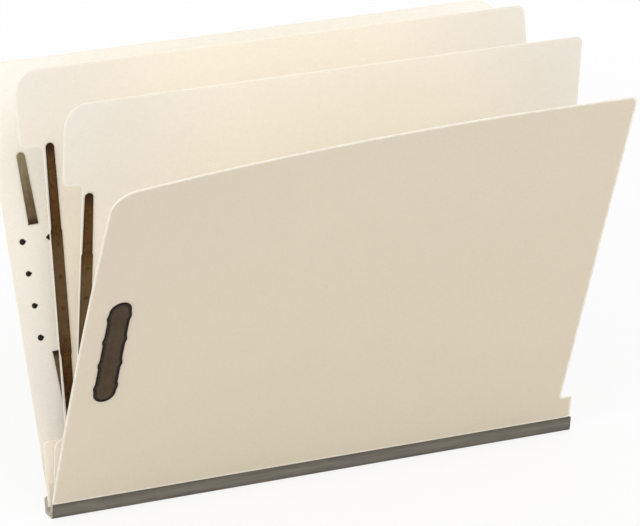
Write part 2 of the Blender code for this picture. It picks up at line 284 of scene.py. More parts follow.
class ShaderSheet(NodeSheet):
    """A material's node tree."""

    def __init__(self, name: str) -> None:
        """Starts an empty material of that name."""
        self.material = bpy.data.materials.new(name)
        self.material.use_nodes = True
        super().__init__(self.material.node_tree)

    def place(self) -> Socket:
        """The piece's own place, in metres."""
        return self.node("ShaderNodeTexCoord", {})["Object"]

    def cloth_place(self) -> Socket:
        """The place on the flat cut of a piece of cloth, in metres."""
        return self.node("ShaderNodeUVMap", {}, uv_map="cut")["UV"]

    def marked(self, name: str) -> Socket:
        """A value that the mesh carries under a name."""
        return self.node("ShaderNodeAttribute", {}, attribute_name=name)["Fac"]

    def axes(self, place: Socket) -> bpy.types.NodeOutputs:
        """A place's x, y and z."""
        return self.node("ShaderNodeSeparateXYZ", {0: place})

    def span(
        self, value: Socket, low: float, high: float, start: float = 0.0, end: float = 1.0
    ) -> Socket:
        """A value's part from low to high, spread smoothly from start to end and held there."""
        feeds = {"Value": value, "From Min": low, "From Max": high, "To Min": start, "To Max": end}
        return self.node("ShaderNodeMapRange", feeds, interpolation_type="SMOOTHSTEP")[0]

    def mapped(self, place: Socket, grain: Grain) -> Socket:
        """A place that is turned and then stretched to a pattern's cells.

        Args:
            place: The place to start from.
            grain: The pattern.

        Returns:
            The mapped place, in cells.
        """
        turn = [math.radians(t) for t in grain.turn]
        if any(turn):
            place = self.node("ShaderNodeMapping", {"Vector": place, "Rotation": turn})[0]
        scale = np.broadcast_to(grain.cells, 3).tolist()
        return self.node("ShaderNodeMapping", {"Vector": place, "Scale": scale})[0]

    def noise(self, place: Socket, grain: Grain) -> Socket:
        """A pattern of soft noise, from 0 to 1."""
        feeds = {"Scale": 1.0, "Detail": grain.detail, "Roughness": grain.rough}
        return self.node("ShaderNodeTexNoise", feeds | {"Vector": self.mapped(place, grain)})["Fac"]

    def shown(self, place: Socket, grain: Grain) -> Socket:
        """The part of a soft noise that a finish shows."""
        return self.span(self.noise(place, grain), *grain.shows, *grain.gives)

    def spots(self, place: Socket, grain: Grain) -> Socket:
        """A pattern of spots, one in the middle of each cell.

        Args:
            place: The place to start from.
            grain: The pattern, which shows distances from a spot's middle.

        Returns:
            The spots.
        """
        feeds = {"Vector": self.mapped(place, grain), "Scale": 1.0}
        distance = self.node("ShaderNodeTexVoronoi", feeds)["Distance"]
        return self.span(distance, *grain.shows, *grain.gives)

    def mix(self, share: Socket | float, a: object, b: object, blend: str = "MIX") -> Socket:
        """Two colours, with a share of the second one laid on the first."""
        settings = {"data_type": "RGBA", "blend_type": blend}
        return self.node("ShaderNodeMix", {0: share, 6: a, 7: b}, **settings)[2]

    def tinted(self, colour: Socket, where: Socket, tint: Tint) -> Socket:
        """A colour with a tint laid on it where a pattern shows."""
        share = self.math("MULTIPLY", where, tint.share)
        return self.mix(share, colour, (*tint.colour, 1.0), "MULTIPLY")

    def bumps(self, *heights: tuple[Socket, float]) -> Socket:
        """A surface normal from heights that are laid on each other.

        Args:
            *heights: Heights from 0 to 1, each with what 1 stands for in metres.

        Returns:
            The normal.
        """
        feeds: Feeds = {"Strength": 1.0}
        for height, depth in heights:
            feeds |= {"Height": height, "Distance": depth}
            feeds["Normal"] = self.node("ShaderNodeBump", feeds)[0]
        return feeds["Normal"]

    def close(self, **feeds: object) -> bpy.types.Material:
        """Ends the tree in one shader, whose inputs are named with _ for a space."""
        named = {key.replace("_", " "): value for key, value in feeds.items()}
        return self.finish(self.node("ShaderNodeBsdfPrincipled", named)[0])

    def finish(self, shader: Socket) -> bpy.types.Material:
        """Shows a shader on the surface, and hands out the material."""
        self.node("ShaderNodeOutputMaterial", {"Surface": shader})
        return self.material


@dataclass(frozen=True)
class BoardFinish:
    """Calendered board: pressed fibres and faint clouds, with a paler core at its cut edges. Its
    outside colour can be set darker than its inside as painted shade, and its upper ends can get
    painted shade.
    """

    name: str
    outside: Rgb
    inside: Rgb
    core: Rgb
    fleck: float = 0.24
    rough: Pair = (0.55, 0.70)
    toned: float = 0.0
    wear: float = 1.0
    sheen: float = 0.32
    warmth: Grain = Grain(5.5, turn=(0, 0, 50), shows=(0.32, 0.68))
    warm_tint: Tint = Tint(0.3, (0.955, 0.975, 0.965))
    toned_past: Pair = (0.05, 0.15)
    toned_above: Pair = (0.14, 0.20)
    age_tint: Tint = Tint(1.0, (0.87, 0.88, 0.91))
    clouds: Grain = Grain(26, 5, 0.6)
    cloud_tint: Tint = Tint(0.2, (0.970, 0.962, 0.950))
    along: Grain = Grain((260, 1900, 1900), 4, 0.6)
    askew: Grain = Grain((300, 1700, 1700), 3, 0.6, (0, 57, 0))
    fibre_shows: Pair = (0.72, 1.28)
    fibre_tint: Tint = Tint(0.5, (0.945, 0.935, 0.915))
    specks: Grain = Grain((170, 900, 900), turn=(0, -24, 0), shows=(0.20, 0.06))
    speck_colour: Triple = (0.62, 0.54, 0.42)
    hairs: Grain = Grain((900, 700, 160), turn=(0, 31, 0), shows=(0.18, 0.05))
    scuffs: Grain = Grain(160, 4, 0.7, shows=(0.38, 0.66), gives=(0.55, 1.0))
    layers: Grain = Grain((60, 5200, 5200), gives=(0.0, 0.5))
    felt: Grain = Grain(2300, 3, 0.65)
    felt_depth: float = 0.00003
    fibre_depth: float = 0.00004
    cockle: Grain = Grain(17)
    cockle_depth: float = 0.00018

    def material(self) -> bpy.types.Material:
        """Makes the board's material.

        Returns:
            The material.
        """
        sheet = ShaderSheet(self.name)
        place = sheet.place()
        x, _, z = sheet.axes(place)
        core, outside = linear(self.core), linear(self.outside)
        # On the cover the outside colour is painted shade: the same board as the inside, set darker
        # on the face that leans forward.
        colour = sheet.mix(sheet.marked("inside"), outside, linear(self.inside))
        colour = sheet.tinted(colour, sheet.shown(place, self.warmth), self.warm_tint)
        # Painted shade: darker toward both ends along the spine, from a height up.
        ends = sheet.span(sheet.math("ABSOLUTE", x), *self.toned_past, 0, self.toned)
        end_shaded = sheet.math("MULTIPLY", ends, sheet.span(z, *self.toned_above))
        colour = sheet.tinted(colour, end_shaded, self.age_tint)
        colour = sheet.tinted(colour, sheet.shown(place, self.clouds), self.cloud_tint)
        crossed = sheet.math("ADD", *(sheet.noise(place, g) for g in (self.along, self.askew)))
        fibres = sheet.span(crossed, *self.fibre_shows)
        colour = sheet.tinted(colour, fibres, self.fibre_tint)
        specks = sheet.spots(place, self.specks)
        colour = sheet.tinted(colour, specks, Tint(self.fleck, self.speck_colour))
        hairs = sheet.math("MULTIPLY", sheet.spots(place, self.hairs), self.fleck)
        colour = sheet.mix(hairs, colour, core)
        scuffed = sheet.math("MULTIPLY", sheet.marked("rim"), sheet.shown(place, self.scuffs))
        colour = sheet.mix(sheet.math("MULTIPLY", scuffed, self.wear), colour, core)
        layers = sheet.mix(sheet.shown(place, self.layers), core, outside)
        colour = sheet.mix(sheet.marked("cut"), colour, layers)
        felt = sheet.noise(place, self.felt)
        rough = sheet.span(felt, *self.felt.shows, *self.rough)
        normal = sheet.bumps(
            (sheet.noise(place, self.cockle), self.cockle_depth),
            (fibres, self.fibre_depth),
            (felt, self.felt_depth),
        )
        return sheet.close(
            Base_Color=colour, Roughness=rough, Normal=normal, Specular_IOR_Level=self.sheen
        )


@dataclass(frozen=True)
class WovenFinish:
    """Bonded cloth in a plain weave, with a paler backing on its inner side, painted shade in the
    dips of the weave and along its folds, and darker frayed ends.
    """

    name: str
    thread: Rgb
    worn: Rgb
    backing: Rgb
    pitch: float = 0.00062
    sway: Grain = Grain(420)
    sway_share: float = 0.35
    lean_shows: Pair = (-0.5, 0.5)
    lean_share: float = 0.35
    slubs: Grain = Grain((90, 1500, 1), 3, shows=(0.35, 0.7), gives=(0.0, 0.35))
    streaks: Grain = Grain((22, 620, 1), 3, 0.6, shows=(0.40, 0.62))
    streak_tint: Tint = Tint(0.7, (0.74, 0.74, 0.74))
    clouds: Grain = Grain(60, 3)
    cloud_tint: Tint = Tint(0.5, (0.86, 0.86, 0.88))
    dip_shows: Pair = (0.45, 0.05)
    dip_tint: Tint = Tint(0.75, (0.45, 0.44, 0.43))
    grime: Grain = Grain((60, 300, 300), 3, shows=(0.25, 0.75), gives=(0.6, 1.0))
    grime_tint: Tint = Tint(1.0, (0.60, 0.59, 0.57))
    backing_shows: Steps = (0.1, 0.8, 0.0, 0.4)
    backing_share: float = 0.9
    rough: Pair = (0.92, 0.74)
    weave_depth: float = 0.00011
    nap: Grain = Grain(3400)
    nap_depth: float = 0.00003

    def material(self) -> bpy.types.Material:
        """Makes the cloth's material.

        Returns:
            The material.
        """
        sheet = ShaderSheet(self.name)
        place, cut = sheet.place(), sheet.cloth_place()
        thread, worn = linear(self.thread), linear(self.worn)
        sway = sheet.math("MULTIPLY", sheet.noise(place, self.sway), self.sway_share)
        across, along = (
            sheet.math("ADD", sheet.math("MULTIPLY", way, 1 / self.pitch), sway)
            for way in list(sheet.axes(cut))[:2]
        )
        warp = self.threads(sheet, across, along, 0.0)
        weft = self.threads(sheet, along, across, 1.0)
        weave = sheet.math("MAXIMUM", warp, weft)
        lean = sheet.span(sheet.math("SUBTRACT", warp, weft), *self.lean_shows)
        colour = sheet.mix(sheet.math("MULTIPLY", lean, self.lean_share), thread, worn)
        colour = sheet.mix(sheet.shown(cut, self.slubs), colour, worn)
        colour = sheet.tinted(colour, sheet.shown(cut, self.streaks), self.streak_tint)
        colour = sheet.tinted(colour, sheet.shown(place, self.clouds), self.cloud_tint)
        # Painted shade in the dips between the threads.
        colour = sheet.tinted(colour, sheet.span(weave, *self.dip_shows), self.dip_tint)
        # Painted shade along the cloth's folds and crease, and darker frayed ends, where the fold
        # mark is set.
        fold = sheet.math("MULTIPLY", sheet.marked("fold"), sheet.shown(place, self.grime))
        colour = sheet.tinted(colour, fold, self.grime_tint)
        backing = sheet.mix(sheet.span(weave, *self.backing_shows), linear(self.backing), thread)
        inside = sheet.math("MULTIPLY", sheet.marked("inside"), self.backing_share)
        nap = sheet.noise(place, self.nap)
        return sheet.close(
            Base_Color=sheet.mix(inside, colour, backing),
            Roughness=sheet.span(weave, 0, 1, *self.rough),
            Normal=sheet.bumps((weave, self.weave_depth), (nap, self.nap_depth)),
            Specular_IOR_Level=0.25,
            Sheen_Weight=0.12,
            Sheen_Roughness=0.5,
        )

    def threads(self, sheet: ShaderSheet, over: Socket, under: Socket, shift: float) -> Socket:
        """The height of one set of threads.

        Args:
            sheet: The material's node tree.
            over: The count of threads across the set.
            under: The count of the threads that it passes over and under.
            shift: 0 for the first set and 1 for the set that fills its dips.

        Returns:
            Heights from 0 to 1.
        """
        crown = sheet.math("ABSOLUTE", sheet.math("SINE", sheet.math("MULTIPLY", over, math.pi)))
        step = sheet.math("ADD", sheet.math("FLOOR", over), shift)
        turn = sheet.math("MULTIPLY", sheet.math("ADD", under, step), math.pi)
        rise = sheet.math("MULTIPLY_ADD", sheet.math("COSINE", turn), 0.4, 0.6)
        return sheet.math("MULTIPLY", crown, rise)


@dataclass(frozen=True)
class SteelFinish:
    """Thin brown lacquer on strip steel: mottled, with drawn lines and pits, darker edges, tips and
    feet that are painted shade, and a paler painted highlight where marked.
    """

    name: str
    lacquer: Rgb
    thin: Rgb
    edge: Rgb
    rubbed: Rgb
    metal: float = 0.78
    rough: Pair = (0.25, 0.47)
    rough_shows: Pair = (0.3, 1.5)
    blotch: Grain = Grain(330, 4, 0.6, shows=(0.32, 0.70))
    blotch_share: float = 0.55
    clouds: Grain = Grain(75, shows=(0.35, 0.65), gives=(0.0, 0.45))
    drawn: Grain = Grain((3600, 900, 130), 3, shows=(0.40, 0.72), gives=(0.0, 0.12))
    drawn_depth: float = 0.000012
    pits: Grain = Grain(420, shows=(0.16, 0.06), gives=(0.0, 0.40))
    grit: Grain = Grain(2600, shows=(0.2, 0.8), gives=(0.75, 1.0))
    waves: Grain = Grain(320, 3)
    wave_depth: float = 0.00005

    def material(self) -> bpy.types.Material:
        """Makes the metal's material.

        Returns:
            The material.
        """
        sheet = ShaderSheet(self.name)
        place = sheet.place()
        thin, edge = linear(self.thin), linear(self.edge)
        blotch, drawn = sheet.shown(place, self.blotch), sheet.noise(place, self.drawn)
        mottle = sheet.math("MULTIPLY", blotch, self.blotch_share)
        colour = sheet.mix(mottle, linear(self.lacquer), thin)
        colour = sheet.mix(sheet.shown(place, self.clouds), colour, thin)
        colour = sheet.mix(sheet.span(drawn, *self.drawn.shows, *self.drawn.gives), colour, edge)
        colour = sheet.mix(sheet.spots(place, self.pits), colour, edge)
        # Painted shade: where the rim mark is set, the colour darkens toward the edge colour.
        shade = sheet.math("MULTIPLY", sheet.marked("rim"), sheet.shown(place, self.grit))
        colour = sheet.mix(shade, colour, edge)
        rough = sheet.span(sheet.math("ADD", blotch, drawn), *self.rough_shows, *self.rough)
        waves = sheet.noise(place, self.waves)
        # Painted highlight: a paler colour where that mark is set.
        return sheet.close(
            Base_Color=sheet.mix(sheet.marked("rubbed"), colour, linear(self.rubbed)),
            Metallic=self.metal,
            Roughness=rough,
            Normal=sheet.bumps((drawn, self.drawn_depth), (waves, self.wave_depth)),
            Specular_IOR_Level=0.4,
        )


Finish = BoardFinish | WovenFinish | SteelFinish

# The cover's outside is painted shade, a darker copy of the board of its inside and of the
# dividers.
COVER_FINISH = BoardFinish("cover_board_finish", (221, 209, 189), (250, 246, 236), (246, 240, 228))
# The dividers get painted shade toward their upper ends.
DIVIDER_FINISH = BoardFinish(
    "divider_board_finish",
    *((251, 243, 228), (251, 243, 228), (253, 248, 239)),
    fleck=0.15,
    rough=(0.57, 0.72),
    toned=1.0,
    wear=0.3,
)
CLOTH_FINISH = WovenFinish("gusset_cloth_finish", (119, 114, 103), (148, 143, 131), (226, 218, 202))
TAPE_FINISH = WovenFinish(
    "divider_tape_finish", (239, 231, 216), (245, 239, 227), (242, 235, 222), pitch=0.0005
)
# In each steel finish the third colour also serves as painted shade at edges, tips and feet, and
# the fourth is a painted highlight.
STEEL_FINISH = SteelFinish(
    "bronzed_steel_finish", (88, 61, 32), (111, 83, 49), (35, 22, 7), (166, 157, 131)
)
PLATE_FINISH = SteelFinish(
    "bronzed_plate_finish", (68, 54, 36), (88, 72, 51), (16, 11, 5), (150, 139, 114)
)
HEAD_FINISH = SteelFinish(
    "clinched_head_finish",
    *((26, 20, 13), (40, 31, 22), (12, 8, 5), (90, 80, 66)),
    metal=0.3,
    rough=(0.52, 0.74),
)


@cache
def material_of(finish: Finish) -> bpy.types.Material:
    """A finish's material, made once."""
    return finish.material()


@dataclass(frozen=True)
class Crease:
    """A board's crease, about which flat places are leaned into the folder's frame."""

    y: float
    z: float
    lean: float
    curl: float = 0.0

    def place(self, x: np.ndarray, y: np.ndarray, h: np.ndarray) -> np.ndarray:
        """Flat places as points of the folder.

        Args:
            x: Places along the spine.
            y: Depths through the board.
            h: Heights up the board.

        Returns:
            The points, with x, y and z last.
        """
        x, y, h = np.broadcast_arrays(np.asarray(x, float), y, h)
        along = (SIZE.curl_start - SIZE.spine_end - x) / SIZE.curl_start
        bow = self.curl * along**2 * np.maximum(h, 0) / SIZE.cover_height
        angle = np.radians(self.lean + bow)
        c, s = np.cos(angle), np.sin(angle)
        return np.stack([x, self.y + y * c - h * s, self.z + y * s + h * c], axis=-1)

    def flat(self, y: np.ndarray, z: np.ndarray) -> tuple[np.ndarray, np.ndarray]:
        """The depth and height of points in the folder's frame, before any curl.

        Args:
            y: Points' y.
            z: Points' z.

        Returns:
            Depths and heights.
        """
        c, s = math.cos(math.radians(self.lean)), math.sin(math.radians(self.lean))
        dy, dz = y - self.y, z - self.z
        return dy * c + dz * s, dz * c - dy * s


@dataclass(frozen=True)
class Seat:
    """Where a fastener's middle sits on its board."""

    crease: Crease
    x: float
    board: float
    turn: float = 0.0

    @property
    def h(self) -> float:
        """The fastener's height up the board."""
        return SIZE.fastener_level - self.crease.z

    def spot(self, across: np.ndarray, along: np.ndarray) -> tuple[np.ndarray, np.ndarray]:
        """The flat x and h of places across the fastener and, upwards, along it."""
        c, s = math.cos(math.radians(self.turn)), math.sin(math.radians(self.turn))
        return self.x + across * c - along * s, self.h + across * s + along * c

    def place(
        self, across: np.ndarray, along: np.ndarray, lift: np.ndarray, face: Face
    ) -> np.ndarray:
        """Places on the fastener as points of the folder.

        Args:
            across: Places across the fastener.
            along: Places along it, upwards.
            lift: Heights above the board's face.
            face: The board's face.

        Returns:
            The points.
        """
        across, along, lift = np.broadcast_arrays(across, along, lift)
        x, h = self.spot(across, along)
        return self.crease.place(x, face.value * (self.board / 2 + lift), h)

    def round_hole(self, across: float, along: float, radius: float) -> np.ndarray:
        """A round hole's loop on the board, as flat x and h."""
        turns = np.linspace(0, 2 * math.pi, HOLE_SIDES, endpoint=False)
        return np.column_stack(
            self.spot(across + radius * np.cos(turns), along + radius * np.sin(turns))
        )

    def slot(self, along: float, width: float, height: float) -> np.ndarray:
        """A rectangular hole's loop on the board, as flat x and h."""
        sides = np.array([(-1, -1), (1, -1), (1, 1), (-1, 1)], float) / 2
        return np.column_stack(self.spot(sides[:, 0] * width, along + sides[:, 1] * height))


def filleted(corners: Sequence[Triple], steps: int = 12) -> np.ndarray:
    """A closed outline with round corners.

    Args:
        corners: The (x, h, radius) of each corner, in order.
        steps: Pieces of each arc.

    Returns:
        The outline's points.
    """
    points: list[Vector] = []
    for i, (x, h, radius) in enumerate(corners):
        here = Vector((x, h))
        if radius <= 0:
            points.append(here)
            continue
        to_last = (Vector(corners[i - 1][:2]) - here).normalized()
        to_next = (Vector(corners[(i + 1) % len(corners)][:2]) - here).normalized()
        half = to_last.angle(to_next) / 2
        middle = here + (to_last + to_next).normalized() * (radius / math.sin(half))
        start = here + to_last * (radius / math.tan(half)) - middle
        sweep = start.angle_signed(here + to_next * (radius / math.tan(half)) - middle)
        for step in range(steps + 1):
            points.append(middle + Matrix.Rotation(-sweep * step / steps, 2) @ start)
    return np.array(points, float)


def inset(loop: np.ndarray, by: float) -> np.ndarray:
    """A loop that runs inside another.

    Args:
        loop: A closed loop of points.
        by: How far inside.

    Returns:
        The inner loop, with as many points.
    """
    following, leading = np.roll(loop, -1, axis=0), np.roll(loop, 1, axis=0)
    area = np.sum(loop[:, 0] * following[:, 1] - following[:, 0] * loop[:, 1])
    to_left = np.array([[0, 1], [-1, 0]], float) * (1 if area > 0 else -1)
    before, after = loop - leading, following - loop
    before /= np.linalg.norm(before, axis=1, keepdims=True)
    after /= np.linalg.norm(after, axis=1, keepdims=True)
    inward = before @ to_left + after @ to_left
    length = np.linalg.norm(inward, axis=1, keepdims=True)
    inward /= length
    return loop + inward * by / np.maximum(length / 2, 0.5)


def slab(top: np.ndarray, under: np.ndarray) -> Shape:
    """A closed shell between two sheets of points.

    Args:
        top: A grid of points.
        under: A grid of as many points on its other side.

    Returns:
        The shell's points and four-sided faces.
    """
    rows, columns = top.shape[:2]
    count = rows * columns
    points = np.concatenate([top.reshape(-1, 3), under.reshape(-1, 3)])
    index = np.arange(count).reshape(rows, columns)
    turn = (index[:-1, :-1], index[:-1, 1:], index[1:, 1:], index[1:, :-1])
    upper = np.stack(turn, axis=-1).reshape(-1, 4)
    lower = upper[:, [0, 3, 2, 1]] + count
    edge = np.concatenate([index[0], index[1:, -1], index[-1, -2::-1], index[-2:0:-1, 0]])
    ahead = np.roll(edge, -1)
    rim = np.column_stack([ahead, edge, edge + count, ahead + count])
    return points, np.concatenate([upper, lower, rim])


def closed_mesh(name: str, mesh: bpy.types.Mesh, sharp: float) -> bpy.types.Object:
    """Closes a mesh, turns its faces outwards and shades it.

    Args:
        name: The object's name.
        mesh: The mesh.
        sharp: The angle past which an edge stays sharp.

    Returns:
        The object.
    """
    bm = bmesh.new()
    bm.from_mesh(mesh)
    bmesh.ops.remove_doubles(bm, verts=bm.verts[:], dist=1e-6)
    bmesh.ops.recalc_face_normals(bm, faces=bm.faces[:])
    bm.to_mesh(mesh)
    bm.free()
    mesh.shade_smooth()
    mesh.set_sharp_from_angle(angle=math.radians(sharp))
    obj = bpy.data.objects.new(name, mesh)
    bpy.context.scene.collection.objects.link(obj)
    return obj


def shell(
    name: str,
    shape: Shape,
    marks: dict[str, np.ndarray],
    sharp: float,
    cut: np.ndarray | None = None,
) -> bpy.types.Object:
    """An object from points and faces.

    Args:
        name: The object's name.
        shape: Points and faces.
        marks: A value at each point under each name, for the finish.
        sharp: The angle past which an edge stays sharp.
        cut: Each point's place on the flat cut, for cloth.

    Returns:
        The object, at the origin.
    """
    points, faces = shape
    mesh = bpy.data.meshes.new(name)
    mesh.from_pydata(points.tolist(), [], faces.tolist())
    for mark, values in marks.items():
        layer = mesh.attributes.new(mark, "FLOAT", "POINT")
        layer.data.foreach_set("value", np.ascontiguousarray(values, np.float32))
    if cut is not None:
        corner_of = np.zeros(len(mesh.loops), np.int32)
        mesh.loops.foreach_get("vertex_index", corner_of)
        layer = mesh.uv_layers.new(name="cut")
        layer.data.foreach_set("uv", cut[corner_of].astype(np.float32).ravel())
    return closed_mesh(name, mesh, sharp)


def dress(
    obj: bpy.types.Object, finish: Finish, slot: Slot, body: str | None, nodes: Sequence[str]
) -> None:
    """Gives a piece its finish, its body and the solids that it stands for.

    Args:
        obj: The piece.
        finish: Its finish.
        slot: The record's slot of that finish; not used.
        body: The body that it rides on, or None where it bends between two.
        nodes: The solids that it stands for.
    """
    obj.data.materials.clear()
    obj.data.materials.append(material_of(finish))
    if nodes:
        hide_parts(*nodes)
    if body is not None:
        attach(obj, body)
    LOG.info("%s: %d faces", obj.name, len(obj.data.polygons))


@dataclass
class Board:
    """One die-cut board with eased and scuffed edges."""

    name: str
    crease: Crease
    thickness: float
    outline: np.ndarray
    holes: list[np.ndarray]
    inner_face: Face
    scuff: float = 0.0014
    scuff_middle: float = 0.55
    scuff_wear: float = 0.9
    eased: float = 0.00012
    grid: float = 0.0065
    sharp: float = 35.0

    def build(self) -> bpy.types.Object:
        """Makes the board's mesh.

        Returns:
            The board, leaned about its crease.
        """
        bm = bmesh.new()
        self.shape(bm)
        for axis in (Vector((1, 0, 0)), Vector((0, 0, 1))):
            along = [v.co.dot(axis) / self.grid for v in bm.verts]
            for i in range(math.ceil(min(along)), math.ceil(max(along))):
                geom = bm.verts[:] + bm.edges[:] + bm.faces[:]
                cut = axis * i * self.grid
                bmesh.ops.bisect_plane(bm, geom=geom, dist=1e-7, plane_co=cut, plane_no=axis)
        bmesh.ops.recalc_face_normals(bm, faces=bm.faces[:])
        bm.normal_update()
        inside, cut = bm.faces.layers.float.new("inside"), bm.faces.layers.float.new("cut")
        for face in bm.faces:
            lies = face.normal.y
            face[inside] = float(lies * self.inner_face.value > 0.5)
            face[cut] = float(abs(lies) < 0.5)
        flat = np.array([v.co for v in bm.verts], float)
        for v, co in zip(bm.verts, self.crease.place(*flat.T)):
            v.co = co
        mesh = bpy.data.meshes.new(self.name)
        bm.to_mesh(mesh)
        bm.free()
        return closed_mesh(self.name, mesh, self.sharp)

    def shape(self, bm: bmesh.types.BMesh) -> None:
        """Lays out the flat board, with its wear marked at its edges.

        Args:
            bm: The mesh.
        """
        rim = bm.verts.layers.float.new("rim")
        half = self.thickness / 2
        profile = (
            (0.0, half - self.eased, 1.0),
            (self.eased, half, 1.0),
            (self.scuff_middle * self.scuff, half, self.scuff_wear),
            (self.scuff, half, 0.0),
        )
        rows, hole_rows = [], []
        for side in (-1, 1):
            made = [
                self.ring(bm, inset(self.outline, by), side * depth, rim, worn)
                for by, depth, worn in profile
            ]
            rows.extend(made[::side])
            holes = [self.ring(bm, hole, side * half, rim, 0.0) for hole in self.holes]
            hole_rows.append(holes)
            self.fill(bm, [made[-1], *holes], side)
        for a, b in (*zip(rows, rows[1:]), *zip(*hole_rows)):
            for i in range(len(a)):
                bm.faces.new((a[i - 1], a[i], b[i], b[i - 1]))

    @staticmethod
    def ring(
        bm: bmesh.types.BMesh, loop: np.ndarray, depth: float, layer: object, worn: float
    ) -> list[bmesh.types.BMVert]:
        """One loop of points at a depth.

        Args:
            bm: The mesh.
            loop: The loop's flat x and h.
            depth: Its depth.
            layer: The layer of the wear mark.
            worn: The mark's value there.

        Returns:
            The points.
        """
        made = [bm.verts.new((x, depth, h)) for x, h in loop]
        for v in made:
            v[layer] = worn
        return made

    @staticmethod
    def fill(bm: bmesh.types.BMesh, loops: list[list[bmesh.types.BMVert]], side: int) -> None:
        """Fills an outline with holes in it.

        Args:
            bm: The mesh.
            loops: The outline and then the holes.
            side: The sign of the depth that the faces point to.
        """
        edges = []
        for loop in loops:
            for a, b in zip(loop, loop[1:] + loop[:1]):
                edges.append(bm.edges.get((a, b)) or bm.edges.new((a, b)))
        bmesh.ops.triangle_fill(bm, edges=edges, use_beauty=True, normal=(0, side, 0))


def rounding(half: float, edge: float) -> float:
    """How far a strip's rounded edge reaches in, at most 0.45 of half its width."""
    return min(edge, half * 0.45)


def spread(half: float, edge: float, inner: int) -> np.ndarray:
    """Places across a strip, closer together at its two rounded edges.

    Args:
        half: Half of the strip's width.
        edge: How far the rounding reaches in.
        inner: Places between the two roundings.

    Returns:
        Places from one edge to the other.
    """
    edge = rounding(half, edge)
    near = edge * np.array([0.0, 0.10, 0.36, 0.68])
    middle = np.linspace(edge - half, half - edge, inner)
    return np.concatenate([near - half, middle, half - near[::-1]])


def rounded(inside: np.ndarray, radius: float, least: float) -> np.ndarray:
    """How far a rounded edge has risen, from least to 1, at a distance inside it."""
    share = np.clip(inside / radius, 0, 1)
    return least + (1 - least) * np.sqrt(np.maximum(0, 1 - (1 - share) ** 2))


def smooth(value: np.ndarray, low: float, high: float) -> np.ndarray:
    """A smooth step from 0 at low to 1 at high."""
    share = np.clip((value - low) / (high - low), 0, 1)
    return share * share * (3 - 2 * share)


def hump(value: np.ndarray, width: float) -> np.ndarray:
    """A round hump of height 1 about 0."""
    return np.exp(-((value / width) ** 2))


@dataclass
class Section:
    """One cross-section of a strip: its places, the lifts of its two faces, and its marks."""

    across: np.ndarray
    along: float
    top: np.ndarray
    under: np.ndarray | float
    marks: dict[str, np.ndarray | float]


@dataclass
class Strip:
    """A pressed strip of a fastener, built up from cross-sections on one face of a board."""

    name: str
    seat: Seat
    face: Face

    def skin(self, sections: Sequence[Section]) -> tuple[Shape, dict[str, np.ndarray]]:
        """Closes a row of cross-sections into one shell.

        Args:
            sections: The cross-sections, in order.

        Returns:
            The shell's points and faces, and each mark's value at each point.
        """
        top = [self.seat.place(s.across, s.along, s.top, self.face) for s in sections]
        under = [self.seat.place(s.across, s.along, s.under, self.face) for s in sections]
        marks = {}
        for mark in sections[0].marks:
            values = [np.broadcast_to(s.marks[mark], s.across.shape) for s in sections]
            marks[mark] = np.tile(np.concatenate(values), 2)
        return slab(np.array(top), np.array(under)), marks


@dataclass
class Prong(Strip):
    """A flat strip with a low ridge, a rounded root on its fold and a round tip."""

    end: End
    length: float
    rubbed: float = 0.0
    tip_shade: float = 0.011
    root_shade: float = 0.0
    root_fade: Pair = (0.0002, 0.0050)
    tip_width: float = 0.0048
    tip_thinning: float = 0.35
    least_half: float = 0.00006
    tip_tone: float = 0.85
    taper_start: float = 0.0030
    ridge: float = 0.0002
    ridge_width: float = 0.001008
    ridge_in: Pair = (0.0002, 0.0048)
    ridge_out: Pair = (0.00768, 0.00192)
    edge: float = 0.00014
    edge_share: float = 0.25
    rows: int = 26
    columns: int = 13
    root_turns: Steps = (85, 60, 35, 15)
    tip_turns: Steps = (12, 24, 36, 48, 58, 67, 75, 82, 87.5)
    sharp: float = 50.0

    def build(self) -> bpy.types.Object:
        """Makes the prong, lying on its board.

        Returns:
            The prong.
        """
        tip = self.tip_width / 2
        root = np.sin(np.radians(self.root_turns)) * -SIZE.prong_metal / 2
        body = np.linspace(0, self.length - tip, self.rows)
        end = self.length - tip + tip * np.sin(np.radians(self.tip_turns))
        sections = [self.section(s) for s in (*root, *body, *end)]
        return shell(f"{self.name}_blade", *self.skin(sections), self.sharp)

    def section(self, s: float) -> Section:
        """One cross-section of the prong.

        Args:
            s: Its distance from the fold.

        Returns:
            The cross-section.
        """
        metal, wide, tip = SIZE.prong_metal, SIZE.prong_width / 2, self.tip_width / 2
        straight = self.length - tip
        past = np.clip((s - straight) / tip, 0, 1)
        taper = np.interp(s, (self.taper_start, straight), (wide, tip))
        half = max(taper * math.sqrt(1 - past**2), self.least_half)
        thick = metal * (max(0, 1 - abs(2 * s / metal) ** 3) ** (1 / 3) if s < 0 else 1.0)
        thick *= 1 - self.tip_thinning * past**2
        across = spread(half, self.edge, self.columns)
        inside = half - np.abs(across)
        rise = thick / 2 * rounded(inside, rounding(half, self.edge), self.edge_share)
        crest = self.ridge * hump(across, self.ridge_width) * smooth(s, *self.ridge_in)
        crest = crest * (1 - smooth(s, *(self.length - short for short in self.ridge_out)))
        root_dark = self.root_shade * (1 - smooth(s, *self.root_fade))
        # Painted shade: the rim mark darkens the edges and the stretch before the tip, on top of
        # the root shade.
        tip_dark = self.tip_tone * smooth(s, self.length - self.tip_shade, self.length)
        rim = np.maximum(1 - inside / SIZE.edge_tone, max(tip_dark, root_dark)).clip(0, 1)
        # Painted highlight: paler toward the tip, and little at the root.
        bright = self.rubbed * (0.35 + 0.65 * smooth(s, 0.2 * self.length, self.length))
        marks = {"rim": rim, "rubbed": bright * (1 - 0.9 * root_dark)}
        along = self.end.value * (SIZE.prong_spacing / 2 + s)
        middle = SIZE.gap + metal / 2
        return Section(across, along, middle + rise + crest, middle - rise + 0.5 * crest, marks)

    def dress(self, obj: bpy.types.Object) -> None:
        """Lacquers the prong and lets it ride on its own body."""
        dress(obj, STEEL_FINISH, Slot.STEEL, self.name, [self.name])


